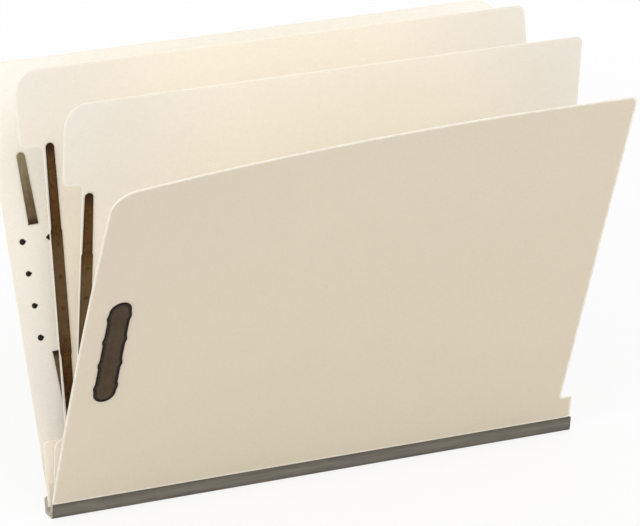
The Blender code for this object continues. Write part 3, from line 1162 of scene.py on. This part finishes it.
@cache
def pressed_heads() -> bpy.types.GeometryNodeTree:
    """The node tree that lays out pressed heads in two rows, made once.

    Returns:
        The tree, with its sizes as named inputs.
    """
    tree = bpy.data.node_groups.new("pressed_heads", "GeometryNodeTree")
    tree.interface.new_socket("Heads", in_out="OUTPUT", socket_type="NodeSocketGeometry")
    kinds = dict.fromkeys(("Rows Apart", "Pitch", "Radius", "Height", "Uneven"), "Float")
    kinds |= {"Count": "Int", "Seed": "Int", "Material": "Material"}
    for name, kind in kinds.items():
        tree.interface.new_socket(name, in_out="INPUT", socket_type=f"NodeSocket{kind}")
    sheet = NodeSheet(tree)
    given = sheet.node("NodeGroupInput", {})

    reach = sheet.math("MULTIPLY", sheet.math("SUBTRACT", given["Count"], 1), given["Pitch"])
    start = sheet.math("MULTIPLY", reach, -0.5)
    step = sheet.node("ShaderNodeCombineXYZ", {"Z": given["Pitch"]})[0]
    join = tree.nodes.new("GeometryNodeJoinGeometry")
    for side in (-0.5, 0.5):
        x = sheet.math("MULTIPLY", given["Rows Apart"], side)
        first = sheet.node("ShaderNodeCombineXYZ", {"X": x, "Z": start})[0]
        feeds = {"Count": given["Count"], "Start Location": first, "Offset": step}
        row = sheet.node("GeometryNodeMeshLine", feeds, mode="OFFSET")
        tree.links.new(row[0], join.inputs[0])
    feeds = {0: join.outputs[0], "Distance": 0.0001}
    points = sheet.node("GeometryNodeMergeByDistance", feeds)[0]

    ball = sheet.node("GeometryNodeMeshUVSphere", {"Segments": 24, "Rings": 14, "Radius": 1.0})
    position = sheet.node("GeometryNodeInputPosition", {})[0]
    x, y, z = sheet.node("ShaderNodeSeparateXYZ", {0: position})
    crown = sheet.math("POWER", sheet.math("MAXIMUM", z, 0.0), 0.8)
    flat = sheet.node("ShaderNodeCombineXYZ", {0: x, 1: y, 2: crown})[0]
    feeds = {0: ball[0], "Position": flat}
    dome = sheet.node("GeometryNodeSetPosition", feeds)[0]
    feeds = {0: given["Radius"], 1: given["Radius"], 2: given["Height"]}
    size = sheet.node("ShaderNodeCombineXYZ", feeds)[0]
    sized = sheet.node("GeometryNodeTransform", {0: dome, "Scale": size})[0]
    feeds = {0: sized, "Rotation": (math.pi / 2, 0, 0)}
    facing = sheet.node("GeometryNodeTransform", feeds)[0]

    least = sheet.math("SUBTRACT", 1.0, given["Uneven"])
    most = sheet.math("ADD", 1.0, given["Uneven"])
    feeds = {2: least, 3: most, "Seed": given["Seed"]}
    vary = sheet.node("FunctionNodeRandomValue", feeds, data_type="FLOAT")[1]
    feeds = {0: points, "Instance": facing, "Scale": vary}
    placed = sheet.node("GeometryNodeInstanceOnPoints", feeds)[0]
    real = sheet.node("GeometryNodeRealizeInstances", {0: placed})[0]
    feeds = {0: real, "Material": given["Material"]}
    painted = sheet.node("GeometryNodeSetMaterial", feeds)[0]
    sheet.node("NodeGroupOutput", {0: painted})
    return tree


@dataclass
class HeadRow:
    """Pressed heads in rows: the clinched teeth of a plate, or the riveted posts of a bar."""

    rows_apart: float
    radius: float
    height: float
    seed: int = 3
    uneven: float = 0.07
    foot_share: float = 0.6
    sharp: float = 60.0

    def build(
        self, name: str, finish: SteelFinish, seat: Seat, lift: float, face: Face
    ) -> bpy.types.Object:
        """Makes the heads on one face of a board.

        Args:
            name: The piece's name.
            finish: The heads' finish.
            seat: The fastener's place.
            lift: The heads' foot above the board's face.
            face: The board's face.

        Returns:
            The heads as one mesh.
        """
        host = bpy.data.objects.new(name + "_layout", bpy.data.meshes.new(name + "_layout"))
        bpy.context.scene.collection.objects.link(host)
        layout = host.modifiers.new("heads", "NODES")
        layout.node_group = pressed_heads()
        values = {
            "Rows Apart": self.rows_apart,
            "Count": SIZE.teeth_per_side,
            "Pitch": SIZE.tooth_pitch,
            "Radius": self.radius,
            "Height": self.height,
            "Uneven": self.uneven,
            "Seed": self.seed,
            "Material": material_of(finish),
        }
        for item in layout.node_group.interface.items_tree:
            if item.item_type == "SOCKET" and item.in_out == "INPUT":
                layout[item.identifier] = values[item.name]
        bpy.context.view_layer.update()
        shown = host.evaluated_get(bpy.context.evaluated_depsgraph_get())
        mesh = bpy.data.meshes.new_from_object(shown)
        bpy.data.objects.remove(host, do_unlink=True)
        mesh.name = name
        flat = np.array([v.co for v in mesh.vertices], float)
        placed = seat.place(flat[:, 0], flat[:, 2], lift - flat[:, 1], face)
        mesh.vertices.foreach_set("co", placed.astype(np.float32).ravel())
        # Painted shade: each head darkens toward its foot on the board.
        foot = np.clip(1 + flat[:, 1] / (self.foot_share * self.height), 0, 1)
        mark = mesh.attributes.new("rim", "FLOAT", "POINT")
        mark.data.foreach_set("value", foot.astype(np.float32))
        mesh.update()
        return closed_mesh(name, mesh, self.sharp)


@dataclass
class Plate(Strip):
    """The stamped plate on a cover's outer face, whose sides swell at each tooth."""

    margin: float = 0.0018
    width: float = 0.0127
    scallop: float = 0.0007
    sharpness: int = 12
    thick: float = 0.0008
    foot: float = 0.00005
    roll: float = 0.0006
    edge_share: float = 0.35
    dish: float = 0.00022
    dish_from: Pair = (0.0007, 0.0017)
    rim_fade: Pair = (0.0014, 0.0024)
    least_half: float = 0.00008
    rib: float = 0.00013
    rib_width: float = 0.0017
    rib_fade: Pair = (0.001, 0.006)
    dent: float = 0.00020
    dent_size: Pair = (0.0007, 0.0011)
    dent_fade: Pair = (0.0001, 0.0007)
    fold: float = 0.00012
    fold_width: float = 0.00045
    fold_fade: float = 0.0004
    press_fade: Pair = (0.0004, 0.0012)
    leg_top: float = 0.4
    leg_edge: float = 0.0002
    leg_columns: int = 5
    leg_ends: Pair = (0.0001, 0.00024)
    tooth_root: float = 0.0006
    splay: float = 0.0015
    clinch_radius: float = 0.0016
    clinch_height: float = 0.0004
    clinch_lift: float = 0.00006
    stations: int = 220
    columns: int = 25
    sharp: float = 55.0

    @property
    def tooth_line(self) -> float:
        """How far from the plate's middle its teeth go through the cover."""
        return self.width / 2 - self.tooth_root + self.scallop

    def build(self) -> bpy.types.Object:
        """Makes the plate with the two legs that go through the cover.

        Returns:
            The plate.
        """
        reach = SIZE.prong_spacing / 2 + self.margin
        alongs = -reach * np.cos(np.linspace(0, math.pi, self.stations))
        (points, faces), marks = self.skin([self.section(h, reach) for h in alongs])
        rim = marks["rim"]
        for end in (End.LOWER, End.UPPER):
            leg, leg_faces = self.leg(end)
            faces = np.concatenate([faces, leg_faces + len(points)])
            points = np.concatenate([points, leg])
            # Painted shade: the legs take half of the rim's darkening.
            rim = np.concatenate([rim, np.full(len(leg), 0.5)])
        return shell(self.name, (points, faces), {"rim": rim}, self.sharp)

    def section(self, along: float, reach: float) -> Section:
        """One cross-section of the plate.

        Args:
            along: Its height along the fastener.
            reach: The height at which the plate ends.

        Returns:
            The cross-section.
        """
        from_tooth = (along - SIZE.tooth_levels[0]) / SIZE.tooth_pitch
        full = self.width / 2 + self.scallop * math.cos(math.pi * from_tooth) ** self.sharpness
        to_end = reach - abs(along)
        half = full * math.sqrt(max(0, 1 - max(0, 1 - to_end / full) ** 2))
        across = spread(max(half, self.least_half), self.roll, self.columns)
        inside = np.maximum(full - np.hypot(across, max(0, full - to_end)), 0)
        rise = self.thick * rounded(inside, self.roll, self.edge_share)
        rise = rise - self.dish * smooth(inside, *self.dish_from)
        rise = rise + self.pressed(across, along, inside)
        # Painted shade: the plate darkens toward its edge.
        rim = 1 - smooth(inside, *self.rim_fade)
        return Section(across, along, self.foot + rise, self.foot, {"rim": rim})

    def pressed(self, across: np.ndarray, along: float, inside: np.ndarray) -> np.ndarray:
        """What the press leaves on the plate: a rib, a dent at each tooth, a fold over each leg.

        Args:
            across: Places across the plate.
            along: Their height along it.
            inside: Their distance from its edge.

        Returns:
            Heights to add.
        """
        from_leg = SIZE.prong_spacing / 2 - abs(along)
        rib = self.rib * hump(across, self.rib_width) * smooth(from_leg, *self.rib_fade)
        fold = self.fold * hump(from_leg, self.fold_width)
        fold = fold * smooth(SIZE.prong_width / 2 - np.abs(across), 0, self.fold_fade)
        from_line = np.abs(across) - self.tooth_line + self.scallop / 2
        wide, high = self.dent_size
        dents = sum(hump(from_line, wide) * hump(along - h, high) for h in SIZE.tooth_levels)
        dents = self.dent * dents * smooth(inside, *self.dent_fade)
        return smooth(inside, *self.press_fade) * (rib - fold) - dents

    def leg(self, end: End) -> Shape:
        """One leg, from the plate through the cover to the prong's root.

        Args:
            end: Which of the two.

        Returns:
            The leg's points and faces.
        """
        ends = [-self.seat.board - past for past in self.leg_ends]
        lifts = (self.foot + self.leg_top * self.thick, *ends)
        halves = np.array([0.5, 0.5, 0.25]) * SIZE.prong_metal
        across = spread(SIZE.prong_width / 2, self.leg_edge, self.leg_columns)
        middle = end.value * SIZE.prong_spacing / 2
        sides = []
        for way in (-1, 1):
            levels = zip(middle + way * halves, lifts)
            rows = [self.seat.place(across, along, lift, self.face) for along, lift in levels]
            sides.append(np.array(rows))
        return slab(*sides)

    def teeth(self) -> bpy.types.Object:
        """Makes the clinched ends of the plate's teeth on the cover's inner face.

        Returns:
            The teeth.
        """
        row = HeadRow(2 * (self.tooth_line + self.splay), self.clinch_radius, self.clinch_height)
        name, other = f"{self.name}_teeth", self.face.other
        return row.build(name, HEAD_FINISH, self.seat, self.clinch_lift, other)


@dataclass
class Bar(Strip):
    """The strip between a divider's two prongs, riveted through the board."""

    metal: float = 0.0005
    foot: float = 0.00006
    edge: float = 0.00016
    edge_share: float = 0.4
    end_gap: float = 0.00004
    neck: float = 0.0016
    groove: float = 0.00010
    groove_at: float = 0.0019
    groove_width: float = 0.00045
    groove_fade: Pair = (0.001, 0.004)
    rubbed: float = 0.16
    rubbed_from: float = 0.014
    rivet_radius: float = 0.0011
    rivet_height: float = 0.00018
    rivet_sink: float = 0.00004
    stations: int = 120
    columns: int = 15
    sharp: float = 50.0

    def build(self) -> bpy.types.Object:
        """Makes the bar.

        Returns:
            The bar.
        """
        reach = SIZE.prong_spacing / 2 - SIZE.prong_metal / 2 - self.end_gap
        alongs = np.linspace(-reach, reach, self.stations)
        sections = [self.section(h, reach) for h in alongs]
        return shell(self.name, *self.skin(sections), self.sharp)

    def section(self, along: float, reach: float) -> Section:
        """One cross-section of the bar.

        Args:
            along: Its height along the fastener.
            reach: The height at which the bar ends.

        Returns:
            The cross-section.
        """
        from_end = reach - abs(along)
        wider = (SIZE.bar_width - SIZE.prong_width) / 2 * float(smooth(from_end, 0, self.neck))
        half = SIZE.prong_width / 2 + wider
        across = spread(half, self.edge, self.columns)
        inside = half - np.abs(across)
        swell = self.metal * rounded(inside, self.edge, self.edge_share)
        groove = hump(np.abs(across) - self.groove_at, self.groove_width)
        groove = self.groove * groove * smooth(from_end, *self.groove_fade)
        # Painted shade at the edges, and a painted highlight that grows away from the bar's ends.
        marks = {
            "rim": np.clip(1 - inside / SIZE.edge_tone, 0, 1),
            "rubbed": self.rubbed * smooth(from_end, 0, self.rubbed_from),
        }
        return Section(across, along, SIZE.gap + swell - groove, self.foot, marks)

    def rivets(self) -> bpy.types.Object:
        """Makes the riveted heads along the bar.

        Returns:
            The heads.
        """
        row = HeadRow(0, self.rivet_radius, self.rivet_height, seed=5, uneven=0.03)
        lift = SIZE.gap + self.metal - self.rivet_sink
        return row.build(f"{self.name}_rivets", STEEL_FINISH, self.seat, lift, self.face)


def run_along(path: np.ndarray) -> np.ndarray:
    """Each point's distance along a path from its first point."""
    return np.concatenate([[0], np.cumsum(np.linalg.norm(np.diff(path, axis=0), axis=1))])


def along_path(keys: np.ndarray, count: int, steps: int = 24) -> np.ndarray:
    """A smooth path through key points.

    Args:
        keys: Points, in order.
        count: Points to give, evenly spaced.
        steps: Steps from one key point to the next, before they are evened out.

    Returns:
        The path's points.
    """
    padded = np.vstack([2 * keys[0] - keys[1], keys, 2 * keys[-1] - keys[-2]])
    t = np.linspace(0, 1, steps, endpoint=False)[:, None]
    dense = []
    for a, b, c, d in zip(padded, padded[1:], padded[2:], padded[3:]):
        bend = (2 * a - 5 * b + 4 * c - d) * t**2 + (3 * b - 3 * c + d - a) * t**3
        dense.append((2 * b + (c - a) * t + bend) / 2)
    dense = np.concatenate([*dense, keys[-1:]])
    run = run_along(dense)
    even = np.linspace(0, run[-1], count)
    return np.column_stack([np.interp(even, run, dense[:, i]) for i in range(2)])


@dataclass
class ClothStrip:
    """A strip of cloth that runs along the spine and bends over one crease."""

    name: str
    crease: Crease
    keys: np.ndarray
    folds: np.ndarray
    thick: float
    left: Pair
    right: Pair
    inner: Face
    rows: int = 64
    columns: int = 130
    pucker: float = 0.00006
    lap_from: Pair = (0.0135, 0.0115)
    wall_from: Pair = (0.004, 0.007)
    fold_width: float = 0.0019
    frayed: float = 0.8
    fray_width: float = 0.0010
    sharp: float = 60.0

    def section(self) -> tuple[np.ndarray, np.ndarray]:
        """The y and z of the strip's folded section, and the distances along it."""
        path = along_path(self.keys, self.rows)
        return path, run_along(path)

    def build(self) -> bpy.types.Object:
        """Makes the strip.

        Returns:
            The cloth, as a closed thin shell.
        """
        path, run = self.section()
        ahead = np.gradient(path, axis=0)
        ahead /= np.linalg.norm(ahead, axis=1, keepdims=True)
        past = smooth(run, *(run[-1] - lap for lap in self.lap_from))
        left = self.left[0] + (self.left[1] - self.left[0]) * past
        right = self.right[0] + (self.right[1] - self.right[0]) * past
        x = left + (right - left) * np.linspace(0, 1, self.columns)[:, None]
        # Two wavelengths that never line up, the longer one slanting across the strip.
        wave = np.sin(x * 310 + 5 * run / run[-1]) + 0.6 * np.sin(x * 743 + 2.0)
        ripple = self.pucker * wave * smooth(run, *self.wall_from) * (1 - past)
        sheets = []
        for way in (0.5, -0.5):
            offset = way * self.thick + ripple
            y, z = path[:, 0] - ahead[:, 1] * offset, path[:, 1] + ahead[:, 0] * offset
            sheets.append(self.crease.place(x, *self.crease.flat(y, z)))
        to_end = np.minimum(x - left, right - x)
        # The fold mark: darker frayed ends, and painted shade at each fold.
        fold = self.frayed * hump(to_end, self.fray_width)
        for bend in self.folds:
            near = np.linalg.norm(path - bend, axis=1)
            fold = np.maximum(fold, hump(near, self.fold_width))
        lies = np.array([self.inner is Face.REAR, self.inner is Face.FRONT], float)
        marks = {"fold": np.tile(fold.ravel(), 2), "inside": np.repeat(lies, fold.size)}
        cut = np.stack([x, np.broadcast_to(run, x.shape)], axis=-1).reshape(-1, 2)
        return shell(self.name, slab(*sheets), marks, self.sharp, np.concatenate([cut, cut]))

    def dress(
        self,
        obj: bpy.types.Object,
        finish: WovenFinish,
        slot: Slot,
        body: str,
        nodes: Sequence[str],
        reach: float,
    ) -> None:
        """Gives the cloth its weave, hides the solids that it stands for and bakes its place into
        its mesh.

        Args:
            obj: The cloth.
            finish: Its finish.
            slot: The record's slot of that finish.
            body: The body of the board that it is glued to; not used.
            nodes: The solids that it stands for.
            reach: How far from the crease the bend begins and ends; not used.
        """
        dress(obj, finish, slot, None, nodes)
        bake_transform(obj)
        flat = (self.right[0] - self.left[0], float(self.section()[1][-1]))


@dataclass
class Spine:
    """The cloth gusset that the folder stands on, and the tapes that hold the dividers in it."""

    creases: dict[str, Crease]
    wall: float = 0.0080
    mouth: float = 0.0125
    floor: float = 0.0100
    corner: float = 0.0014
    cloth: float = 0.00042
    cloth_glue: float = 0.00008
    cloth_bend: float = 0.0012
    lap: float = 0.0125
    lap_left: float = 0.0012
    front_lap_right: float = 0.0032
    floor_keys: Steps = (0.0002, 0.0015, 0.0028)
    wall_keys: Steps = (0.35, 0.55, 0.75, 0.88)
    lap_keys: Steps = (0.0014, 0.0024, 0.004, 0.007, 0.010)
    wall_fold: Pair = (0.006, 0.0084)
    tape: float = 0.00026
    tape_floor: float = 0.00072
    tape_glue: float = 0.00007
    tape_bend: float = 0.0009
    foot_keys: tuple[Pair, ...] = ((0.0036, 0), (0.0030, 0), (0.0025, 0), (0.00205, 0.00009))
    rise_keys: tuple[Pair, ...] = ((0.00004, 0.0004), (0, 0.0010), (0, 0.00208))
    tape_keys: Steps = (0.0010, 0.0022, 0.005, 0.009)

    def on_board(self, crease: Crease, depth: float, heights: Steps) -> list[list[float]]:
        """The y and z of a path's key points where it is glued up a board, before any curl."""
        levels = np.array([*heights, SIZE.bottom_edge + self.lap])
        return replace(crease, curl=0.0).place(0.0, depth, levels)[:, 1:].tolist()

    def gusset_path(self, face: Face, crease: Crease) -> tuple[np.ndarray, np.ndarray]:
        """The path of one half of the gusset, from the middle of its floor to its lap's top.

        Args:
            face: Which half.
            crease: Its cover's crease.

        Returns:
            The path's key points, and the points of its folds.
        """
        half, mirror = self.cloth / 2, np.array([face.value, 1])
        low, top = np.array([self.floor / 2, 0.0]), np.array([self.mouth / 2, self.wall])
        up = (top - low) / np.linalg.norm(top - low)
        tilt = math.atan2(up[0], up[1])
        back = self.corner / math.tan((math.pi / 2 + tilt) / 2)
        arc = np.linspace(-math.pi / 2, -tilt, 7)
        bend = np.array([low[0] - back, self.corner])
        bend = bend + (self.corner - half) * np.column_stack([np.cos(arc), np.sin(arc)])
        inner = low + np.array([-up[1], up[0]]) * half
        floor = [(x, half) for x in self.floor_keys]
        wall = [inner + up * share * self.wall for share in self.wall_keys]
        depth = -face.value * (SIZE.cover_board / 2 + self.cloth_glue + half)
        lap = self.on_board(crease, depth, self.lap_keys)
        keys = np.array([*(np.array([*floor, *bend, *wall]) * mirror), *lap])
        return keys, np.array([bend[3], self.wall_fold, (0, half)]) * mirror

    def tape_path(self, face: Face, crease: Crease) -> tuple[np.ndarray, np.ndarray]:
        """The path of a divider's tape, from its foot on the gusset's floor to its lap's top.

        Args:
            face: The side of the gusset that the divider stands on.
            crease: The divider's crease.

        Returns:
            The path's key points, and the points of its folds.
        """
        base, lip = self.tape_floor, abs(crease.y)
        keys = [(x, base + up) for x, up in self.foot_keys]
        keys += [(lip + out, base + up) for out, up in self.rise_keys]
        keys = np.array(keys) * [face.value, 1]
        depth = -face.value * (SIZE.divider_board / 2 + self.tape_glue + self.tape / 2)
        keys = np.array([*keys, *self.on_board(crease, depth, self.tape_keys)])
        return keys, np.array([[crease.y, base], [crease.y, crease.z]])

    def build(self) -> None:
        """Makes and dresses the two halves of the gusset and the two tapes."""
        end, edge, page = SIZE.spine_end, SIZE.board_edge, SIZE.page_edge
        halves = ((Face.FRONT, "front", self.front_lap_right), (Face.REAR, "back", 0.0))
        for face, side, short in halves:
            body = f"{side}_cover"
            crease = self.creases[body]
            path = self.gusset_path(face, crease)
            ends = (-end, edge + self.lap_left), (end, end - short)
            strip = ClothStrip(f"{body}_gusset", crease, *path, self.cloth, *ends, face)
            nodes = [f"{side}_gusset_lap"] + (["spine_gusset"] if face is Face.FRONT else [])
            cloth = strip.build()
            strip.dress(cloth, CLOTH_FINISH, Slot.CLOTH, body, nodes, self.cloth_bend)
        for face in Face:
            body = f"{face.word}_divider"
            crease = self.creases[body]
            path = self.tape_path(face, crease)
            ends = (edge, edge), (page, page)
            strip = ClothStrip(f"{body}_tape", crease, *path, self.tape, *ends, face, pucker=0)
            nodes = [f"{body}_lap", f"{body}_foot"]
            tape = strip.build()
            strip.dress(tape, TAPE_FINISH, Slot.TAPE, body, nodes, self.tape_bend)


@dataclass
class Cover:
    """One cover: its board, its fastener plate with clinched teeth, and two prongs."""

    name: str
    crease: Crease
    inset: float
    outer: Face
    turn: float = 0.0
    # Painted highlight on the upper and the lower prong.
    rubbed: Pair = (0.0, 0.0)
    prong: float = 0.0390
    prong_root_shade: float = 0.92
    tooth_hole: float = 0.0007
    slot_room: float = 0.0003

    def corners(self) -> list[Triple]:
        """The corners of a board that is full length, so that the end tab stands out.

        Returns:
            The (x, h, radius) of each corner.
        """
        left, right = SIZE.board_edge, SIZE.spine_end
        low, high, round_corner = SIZE.bottom_edge, SIZE.cover_height, SIZE.page_corner
        return [
            (left, low, 0),
            (right, low, 0),
            (right, high, round_corner),
            (left, high, round_corner),
        ]

    def holes(self, plate: Plate) -> list[np.ndarray]:
        """The holes for the plate's teeth and legs.

        Args:
            plate: The plate.

        Returns:
            Each hole's loop, as flat x and h.
        """
        seat, line = plate.seat, plate.tooth_line
        lines, levels = (-line, line), SIZE.tooth_levels
        teeth = [seat.round_hole(x, h, self.tooth_hole) for x in lines for h in levels]
        slot = (SIZE.prong_width + self.slot_room, SIZE.prong_metal + self.slot_room)
        legs = (-SIZE.prong_spacing / 2, SIZE.prong_spacing / 2)
        return teeth + [seat.slot(along, *slot) for along in legs]

    def build(self) -> None:
        """Makes and dresses the cover's pieces."""
        name, inner, side = self.name, self.outer.other, self.name.split("_")[0]
        seat = Seat(self.crease, SIZE.board_edge + self.inset, SIZE.cover_board, self.turn)
        plate = Plate(f"{side}_plate", seat, self.outer)
        outline, holes = filleted(self.corners()), self.holes(plate)
        board = Board(f"{name}_board", self.crease, SIZE.cover_board, outline, holes, inner)
        dress(board.build(), COVER_FINISH, Slot.COVER, name, [name])
        dress(plate.build(), PLATE_FINISH, Slot.STEEL, name, [f"{side}_fastener_plate"])
        dress(plate.teeth(), HEAD_FINISH, Slot.STEEL, name, [])
        for end, rubbed in zip(End, self.rubbed):
            node, shade = f"{name}_{end.word}_prong", self.prong_root_shade
            prong = Prong(node, seat, inner, end, self.prong, rubbed, root_shade=shade)
            prong.dress(prong.build())


@dataclass
class FrontCover(Cover):
    """The cover that is cut back by the end tab, except in a band along its foot."""

    overhang: float = 0.0007
    foot_band: float = 0.0165
    foot_inset: float = 0.0012
    foot_taper: float = 0.0020
    foot_corner: float = 0.0025
    step_corner: float = 0.0015
    skew: float = 1.0

    def corners(self) -> list[Triple]:
        """The corners of the board, whose edges above the band are askew to its crease.

        Returns:
            The (x, h, radius) of each corner.
        """
        left, right = -SIZE.spine_end - self.overhang, SIZE.spine_end - self.foot_inset
        low, band = SIZE.bottom_edge, SIZE.bottom_edge + self.foot_band
        turn = Matrix.Rotation(math.radians(self.skew), 2)
        step = turn @ Vector((SIZE.page_edge, band))
        page = turn @ Vector((SIZE.page_edge, SIZE.cover_height))
        corner = turn @ Vector((left, SIZE.cover_height))
        return [
            (left, low, self.foot_corner),
            (right, low, self.step_corner),
            (right - self.foot_taper, band, self.step_corner),
            (step.x, band, self.step_corner),
            (*page, SIZE.tab_corner),
            (*corner, SIZE.page_corner),
        ]


@dataclass
class Divider:
    """One divider: its notched board, and on each face a riveted bar with two prongs."""

    name: str
    crease: Crease
    inset: float
    prong: float
    notch_length: float
    overhang: float = 0.0
    height: float = 0.2368
    notch_margin: float = 0.0005
    notch_corner: float = 0.0035
    post_hole: float = 0.0010
    tip_shades: Pair = (0.011, 0.046)

    def outline(self, edge: float, seat: Seat) -> np.ndarray:
        """The board's outline, notched beside the fasteners.

        Args:
            edge: The x of its edge beside the fasteners.
            seat: Where the fastener sits.

        Returns:
            The outline.
        """
        inner = seat.x - SIZE.bar_width / 2 - self.notch_margin
        low, high = seat.h - self.notch_length / 2, seat.h + self.notch_length / 2
        page, notch = SIZE.page_edge, self.notch_corner
        corners = [
            (edge, SIZE.bottom_edge, 0),
            (page, SIZE.bottom_edge, 0),
            (page, self.height, SIZE.tab_corner),
            (edge, self.height, SIZE.page_corner),
            (edge, high, notch),
            (inner, high, notch),
            (inner, low, notch),
            (edge, low, notch),
        ]
        return filleted(corners)

    def build(self) -> None:
        """Makes and dresses the divider's pieces."""
        name, thickness = self.name, SIZE.divider_board
        edge = SIZE.board_edge - self.overhang
        seat = Seat(self.crease, edge + self.inset, thickness)
        holes = [seat.round_hole(0, h, self.post_hole) for h in SIZE.tooth_levels]
        outline = self.outline(edge, seat)
        board = Board(f"{name}_board", self.crease, thickness, outline, holes, Face.REAR)
        dress(board.build(), DIVIDER_FINISH, Slot.DIVIDER, name, [name])
        for face in Face:
            bar = Bar(f"{name}_{face.word}_strip", seat, face)
            dress(bar.build(), STEEL_FINISH, Slot.STEEL, name, [f"{name}_{face.word}_bar"])
            dress(bar.rivets(), STEEL_FINISH, Slot.STEEL, name, [])
            for end, shade in zip(End, self.tip_shades):
                node = f"{name}_{face.word}_{end.word}_prong"
                prong = Prong(node, seat, face, end, self.prong, tip_shade=shade)
                prong.dress(prong.build())


@dataclass(frozen=True)
class Lamp:
    """One soft round lamp, with its width in metres and its power in watts."""

    name: str
    place: Triple
    size: float
    power: float


@dataclass
class Studio:
    """A white floor under soft light, and the camera at the photograph's angle."""

    aim: Triple = (0.0040, 0.0, 0.1203)
    distance: float = 2.5331
    azimuth: float = -24.66
    elevation: float = 19.53
    lens: float = 263.6
    sensor: float = 36.0
    sight: Pair = (0.05, 60.0)
    ambient: float = 0.80
    lamps: tuple[Lamp, ...] = (
        Lamp("key", (-1.05, -2.80, 3.10), 3.0, 54.0),
        Lamp("top", (0.30, 0.60, 4.0), 3.0, 5.4),
        Lamp("side", (-2.60, -0.90, 1.20), 1.6, 15.12),
    )
    floor_reach: float = 6.0
    floor_level: float = -0.0002
    floor_grain: Grain = Grain(900)
    floor_greys: Pair = (0.86, 0.88)
    shadow_share: float = 0.18
    shadow_fade: Pair = (0.35, 1.4)

    def stand(self, data: bpy.types.ID, place: Vector) -> bpy.types.Object:
        """Stands a camera or a lamp somewhere, looking at the folder.

        Args:
            data: The camera or lamp.
            place: Where it stands.

        Returns:
            Its object.
        """
        obj = bpy.data.objects.new(data.name, data)
        obj.location = place
        obj.rotation_mode = "QUATERNION"
        obj.rotation_quaternion = (Vector(self.aim) - place).to_track_quat("-Z", "Y")
        bpy.context.scene.collection.objects.link(obj)
        return obj

    def camera(self) -> None:
        """Makes the camera."""
        a, e = math.radians(self.azimuth), math.radians(self.elevation)
        back = Vector((math.sin(a) * math.cos(e), -math.cos(a) * math.cos(e), math.sin(e)))
        data = bpy.data.cameras.new("camera")
        data.lens, data.sensor_width = self.lens, self.sensor
        data.clip_start, data.clip_end = self.sight
        bpy.context.scene.camera = self.stand(data, Vector(self.aim) + back * self.distance)

    def light(self) -> None:
        """Makes the lamps."""
        for lamp in self.lamps:
            data = bpy.data.lights.new(lamp.name, "AREA")
            data.shape, data.size, data.energy = "DISK", lamp.size, lamp.power
            self.stand(data, Vector(lamp.place))

    def world(self) -> None:
        """White to the eye and in reflections, and a plain soft light on everything else."""
        world = bpy.data.worlds.new("studio")
        world.use_nodes = True
        bpy.context.scene.world = world
        sheet = NodeSheet(world.node_tree)
        feeds = {"Value": sheet.seen(), "To Min": self.ambient, "To Max": 1.0}
        level = sheet.node("ShaderNodeMapRange", feeds)[0]
        light = sheet.node("ShaderNodeBackground", {"Color": WHITE, "Strength": level})
        sheet.node("ShaderNodeOutputWorld", {"Surface": light[0]})

    def floor(self) -> None:
        """A pale floor that keeps a faint shadow and fades to white away from the folder."""
        far, level = self.floor_reach, self.floor_level
        corners = [(x * far, y * far, level) for x, y in ((-1, -1), (1, -1), (1, 1), (-1, 1))]
        mesh = bpy.data.meshes.new("floor")
        mesh.from_pydata(corners, [], [(0, 1, 2, 3)])
        obj = bpy.data.objects.new("floor", mesh)
        bpy.context.scene.collection.objects.link(obj)
        sheet = ShaderSheet("floor_finish")
        place = sheet.place()
        greys = [(grey, grey, grey, 1.0) for grey in self.floor_greys]
        colour = sheet.mix(sheet.shown(place, self.floor_grain), *greys)
        diffuse = sheet.node("ShaderNodeBsdfDiffuse", {"Color": colour})[0]
        glow = sheet.node("ShaderNodeEmission", {"Color": WHITE, "Strength": 1.0})[0]
        away = sheet.node("ShaderNodeVectorMath", {0: place}, operation="LENGTH")["Value"]
        whiten = sheet.span(away, *self.shadow_fade, 1 - self.shadow_share, 1.0)
        share = sheet.math("MULTIPLY", sheet.seen(), whiten)
        mixed = sheet.node("ShaderNodeMixShader", {0: share, 1: diffuse, 2: glow})
        mesh.materials.append(sheet.finish(mixed[0]))
        obj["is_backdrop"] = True

    def build(self) -> None:
        """Sets up the whole studio."""
        self.camera()
        self.light()
        self.world()
        self.floor()
        bpy.context.scene.view_settings.view_transform = "Standard"


def main() -> None:
    """Builds the folder's sub-assemblies in order, then the studio."""
    logging.basicConfig(level=logging.INFO, format="%(name)s: %(message)s")
    creases = {
        "front_cover": Crease(y=-0.0060, z=0.0084, lean=23.5, curl=3.3),
        "back_cover": Crease(y=0.0060, z=0.0084, lean=-22.4),
        "front_divider": Crease(y=-0.0018, z=0.0040, lean=6.9),
        "rear_divider": Crease(y=0.0018, z=0.0040, lean=-9.1),
    }
    pieces = (
        FrontCover("front_cover", creases["front_cover"], inset=0.0148, outer=Face.FRONT, turn=1.0),
        Divider(
            "front_divider",
            creases["front_divider"],
            inset=0.0148,
            prong=0.0345,
            notch_length=0.1490,
        ),
        Divider(
            "rear_divider",
            creases["rear_divider"],
            inset=0.0168,
            prong=0.0460,
            notch_length=0.1590,
            overhang=0.0014,
        ),
        Cover(
            "back_cover",
            creases["back_cover"],
            inset=0.0174,
            outer=Face.REAR,
            turn=1.8,
            # Painted highlight on both prongs.
            rubbed=(0.85, 0.9),
        ),
        Spine(creases),
        Studio(),
    )
    for piece in pieces:
        piece.build()
    boxes = {"cad": CAD_BOX, "visual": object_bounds()}
    {name: [list(corner) for corner in box] for name, box in boxes.items()}


if __name__ == "__main__":
    main()
